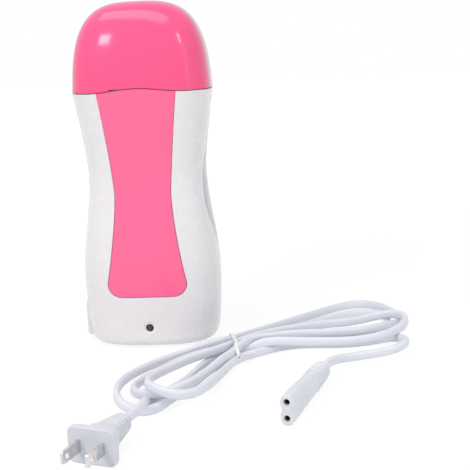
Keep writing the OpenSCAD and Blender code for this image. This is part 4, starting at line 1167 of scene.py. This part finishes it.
class WAXHEATER_OT_cap(bpy.types.Operator):
    """Shapes the domed cap with its wall, rolled rim and pry slit"""

    bl_idname = "wax_heater.cap"
    bl_label = "Cap"

    def execute(self, context):
        s = sizes()
        outer = [lobe(math.pi / 2 * (k / 72 * 0.9985), s.cap_shoulder) for k in range(73)]
        rings = [cap_ring(1, 0, s.cap_wall, 0.25), cap_ring(1, 0, s.cap_wall - 0.25, 0), cap_ring(1, 0, 0.4, 0),
                 cap_ring(1, 0, 0.15, 0.04), cap_ring(1, 0, 0.03, 0.16), cap_ring(1, 0, 0, 0.35)]
        rings += [cap_ring(q, share, 0) for q, share in outer[1:] if share > 0.02]
        inner = [lobe(math.pi / 2 * (k / 24) * 0.99, s.cap_shoulder) for k in range(24, 0, -1)]
        inner_rings = [cap_ring(q, share, s.cap_wall) for q, share in inner]
        shell = loft("cap_shell", rings, foot="open", head=(0, 0, s.height))
        lining = loft("cap_lining", inner_rings + [rings[0]], foot=(0, 0, s.height - s.cap_wall), head="open")
        clear_selection()
        lining.select_set(True)
        shell.select_set(True)
        context.view_layer.objects.active = shell
        bpy.ops.object.join()
        edit_mesh(shell)
        close_edit(shell, 2e-6)
        carve(shell, block("slit", (-16, -60, s.seam_z - 1), (-10, 0, s.seam_z + s.arch + 0.2), 0.15, 2))
        smooth(shell, 32)
        shell.name = shell.data.name = "pink_cap"
        # the cap's colour darkens to a deep pink at its silhouette: painted shade
        pink = moulded("gloss_pink_cap", tuple(finish().cap), gloss=(0.17, 0.185), grain=1500.0,
                       depth=0.00001, coat=0.6, swirl=0.008, rim=(0.36, 0.05, 0.19))
        dress(shell, pink, "cap", "cap_pink", "cap")
        return {"FINISHED"}


# ---- indicator and inner pieces ----


class WAXHEATER_OT_indicator(bpy.types.Operator):
    """Sets the small dark lens in the front, with pale specks in its colour for its die and cup"""

    bl_idname = "wax_heater.indicator"
    bl_label = "Indicator"

    def execute(self, context):
        tip = front_at(0, LENS_Z) - 0.9
        shape = [disc_ring(LENS_R, -12.0, 40)]
        for k in range(13):
            a = math.pi / 2 * k / 12 * 0.985
            shape.append(disc_ring(LENS_R * math.cos(a), -(tip - LENS_R + LENS_R * math.sin(a)), 40))
        lens = smooth(loft("indicator_lens", shape, head=(0, -tip, LENS_Z)), 40)
        material, tree, shader, where = new_finish("dark_lens")
        cells = add_node(tree, "TexVoronoi", Scale=900.0)
        tree.links.new(where, cells.inputs["Vector"])
        spot = spread(tree, cells.outputs["Distance"], 1, 0, 0.12, 0.3)
        tree.links.new(tint(tree, spot, (0.045, 0.028, 0.02), (0.42, 0.34, 0.28)), shader.inputs["Base Color"])
        tree.links.new(spread(tree, noise(tree, where, 500.0, 2.0), 0.08, 0.16), shader.inputs["Roughness"])
        dress(lens, material, "heater", "led_lens", "indicator_led")
        return {"FINISHED"}


class WAXHEATER_OT_inner(bpy.types.Operator):
    """Gives every carried-over piece its finish"""

    bl_idname = "wax_heater.inner"
    bl_label = "Inner pieces"

    def execute(self, context):
        white = moulded("fine_matt_white", (0.79, 0.79, 0.8), gloss=(0.38, 0.5), grain=1400.0, depth=0.00003)
        steel = metal("screw_steel", (0.56, 0.56, 0.57))
        aluminium = metal("drawn_aluminium", (0.72, 0.72, 0.74), gloss=(0.26, 0.38), across=(60.0, 60.0, 900.0))
        brass = metal("contact_brass", (0.34, 0.26, 0.13))
        rubber = moulded("foot_rubber", (0.045, 0.045, 0.05), gloss=(0.6, 0.75), grain=900.0, depth=0.00006)
        seat = moulded("seat_plastic", (0.66, 0.66, 0.68), gloss=(0.42, 0.55))
        finishes = {
            "neck_collar": white, "base_cover": white, "power_inlet": white, "chamber_seat": seat,
            "collar_screws": steel, "chamber_screws": steel, "board_screws": steel, "base_screws": steel,
            "casing_screws": steel, "heater_clamp": steel, "inlet_pins": metal("pin_plate", (0.6, 0.58, 0.54)),
            "heating_chamber": aluminium, "connector_contacts": brass, "rubber_feet": rubber,
            "ptc_heater": moulded("amber_wrap", (0.32, 0.17, 0.04), gloss=(0.15, 0.3), coat=0.4),
            "insulation_sheet": moulded("amber_film", (0.5, 0.28, 0.08), gloss=(0.12, 0.25), coat=0.5),
            "thermostat": moulded("black_phenolic", (0.03, 0.03, 0.035), gloss=(0.4, 0.55)),
            "thermal_fuse": moulded("fuse_ceramic", (0.7, 0.68, 0.6), gloss=(0.3, 0.45)),
            "circuit_board": moulded("green_lacquer", (0.02, 0.16, 0.06), gloss=(0.2, 0.35), coat=0.4),
            "board_resistor": moulded("tan_lacquer", (0.5, 0.33, 0.16), gloss=(0.25, 0.4)),
            "live_wire": moulded("red_sleeve", (0.5, 0.02, 0.02), gloss=(0.35, 0.5)),
            "neutral_wire": moulded("blue_sleeve", (0.03, 0.07, 0.45), gloss=(0.35, 0.5)),
            "heater_wire": moulded("white_sleeve", (0.78, 0.78, 0.76), gloss=(0.35, 0.5)),
            "thermostat_wire": moulded("pale_sleeve", (0.74, 0.74, 0.7), gloss=(0.35, 0.5)),
        }
        for node, material in finishes.items():
            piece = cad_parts[node]
            piece.data.materials.clear()
            piece.data.materials.append(material)
        return {"FINISHED"}


class WAXHEATER_PT_pieces(bpy.types.Panel):
    """Lists the pieces of the heater"""

    bl_idname = "WAXHEATER_PT_pieces"
    bl_label = "Wax heater"
    bl_space_type = "VIEW_3D"
    bl_region_type = "UI"
    bl_category = "Wax heater"

    def draw(self, context):
        for step in STEPS:
            self.layout.operator(step)


GROUPS = {"heater_sizes": HeaterSizes, "heater_finish": HeaterFinish, "heater_cord": CordSizes,
          "heater_studio": StudioSettings}
CLASSES = (*GROUPS.values(), WAXHEATER_OT_stage, WAXHEATER_OT_plug, WAXHEATER_OT_connector, WAXHEATER_OT_tie,
           WAXHEATER_OT_cord, WAXHEATER_OT_shells, WAXHEATER_OT_panel, WAXHEATER_OT_windows, WAXHEATER_OT_cap,
           WAXHEATER_OT_indicator, WAXHEATER_OT_inner, WAXHEATER_PT_pieces)


STEPS = [cls.bl_idname for cls in CLASSES if issubclass(cls, bpy.types.Operator)]


def register():
    for cls in CLASSES:
        bpy.utils.register_class(cls)
    for name, group in GROUPS.items():
        setattr(bpy.types.Scene, name, bpy.props.PointerProperty(type=group))


def unregister():
    for name in GROUPS:
        delattr(bpy.types.Scene, name)
    for cls in reversed(CLASSES):
        bpy.utils.unregister_class(cls)


def main():
    register()
    for step in STEPS:
        category, name = step.split(".")
        getattr(getattr(bpy.ops, category), name)()
    clear_selection()


if __name__ == "__main__":
    main()
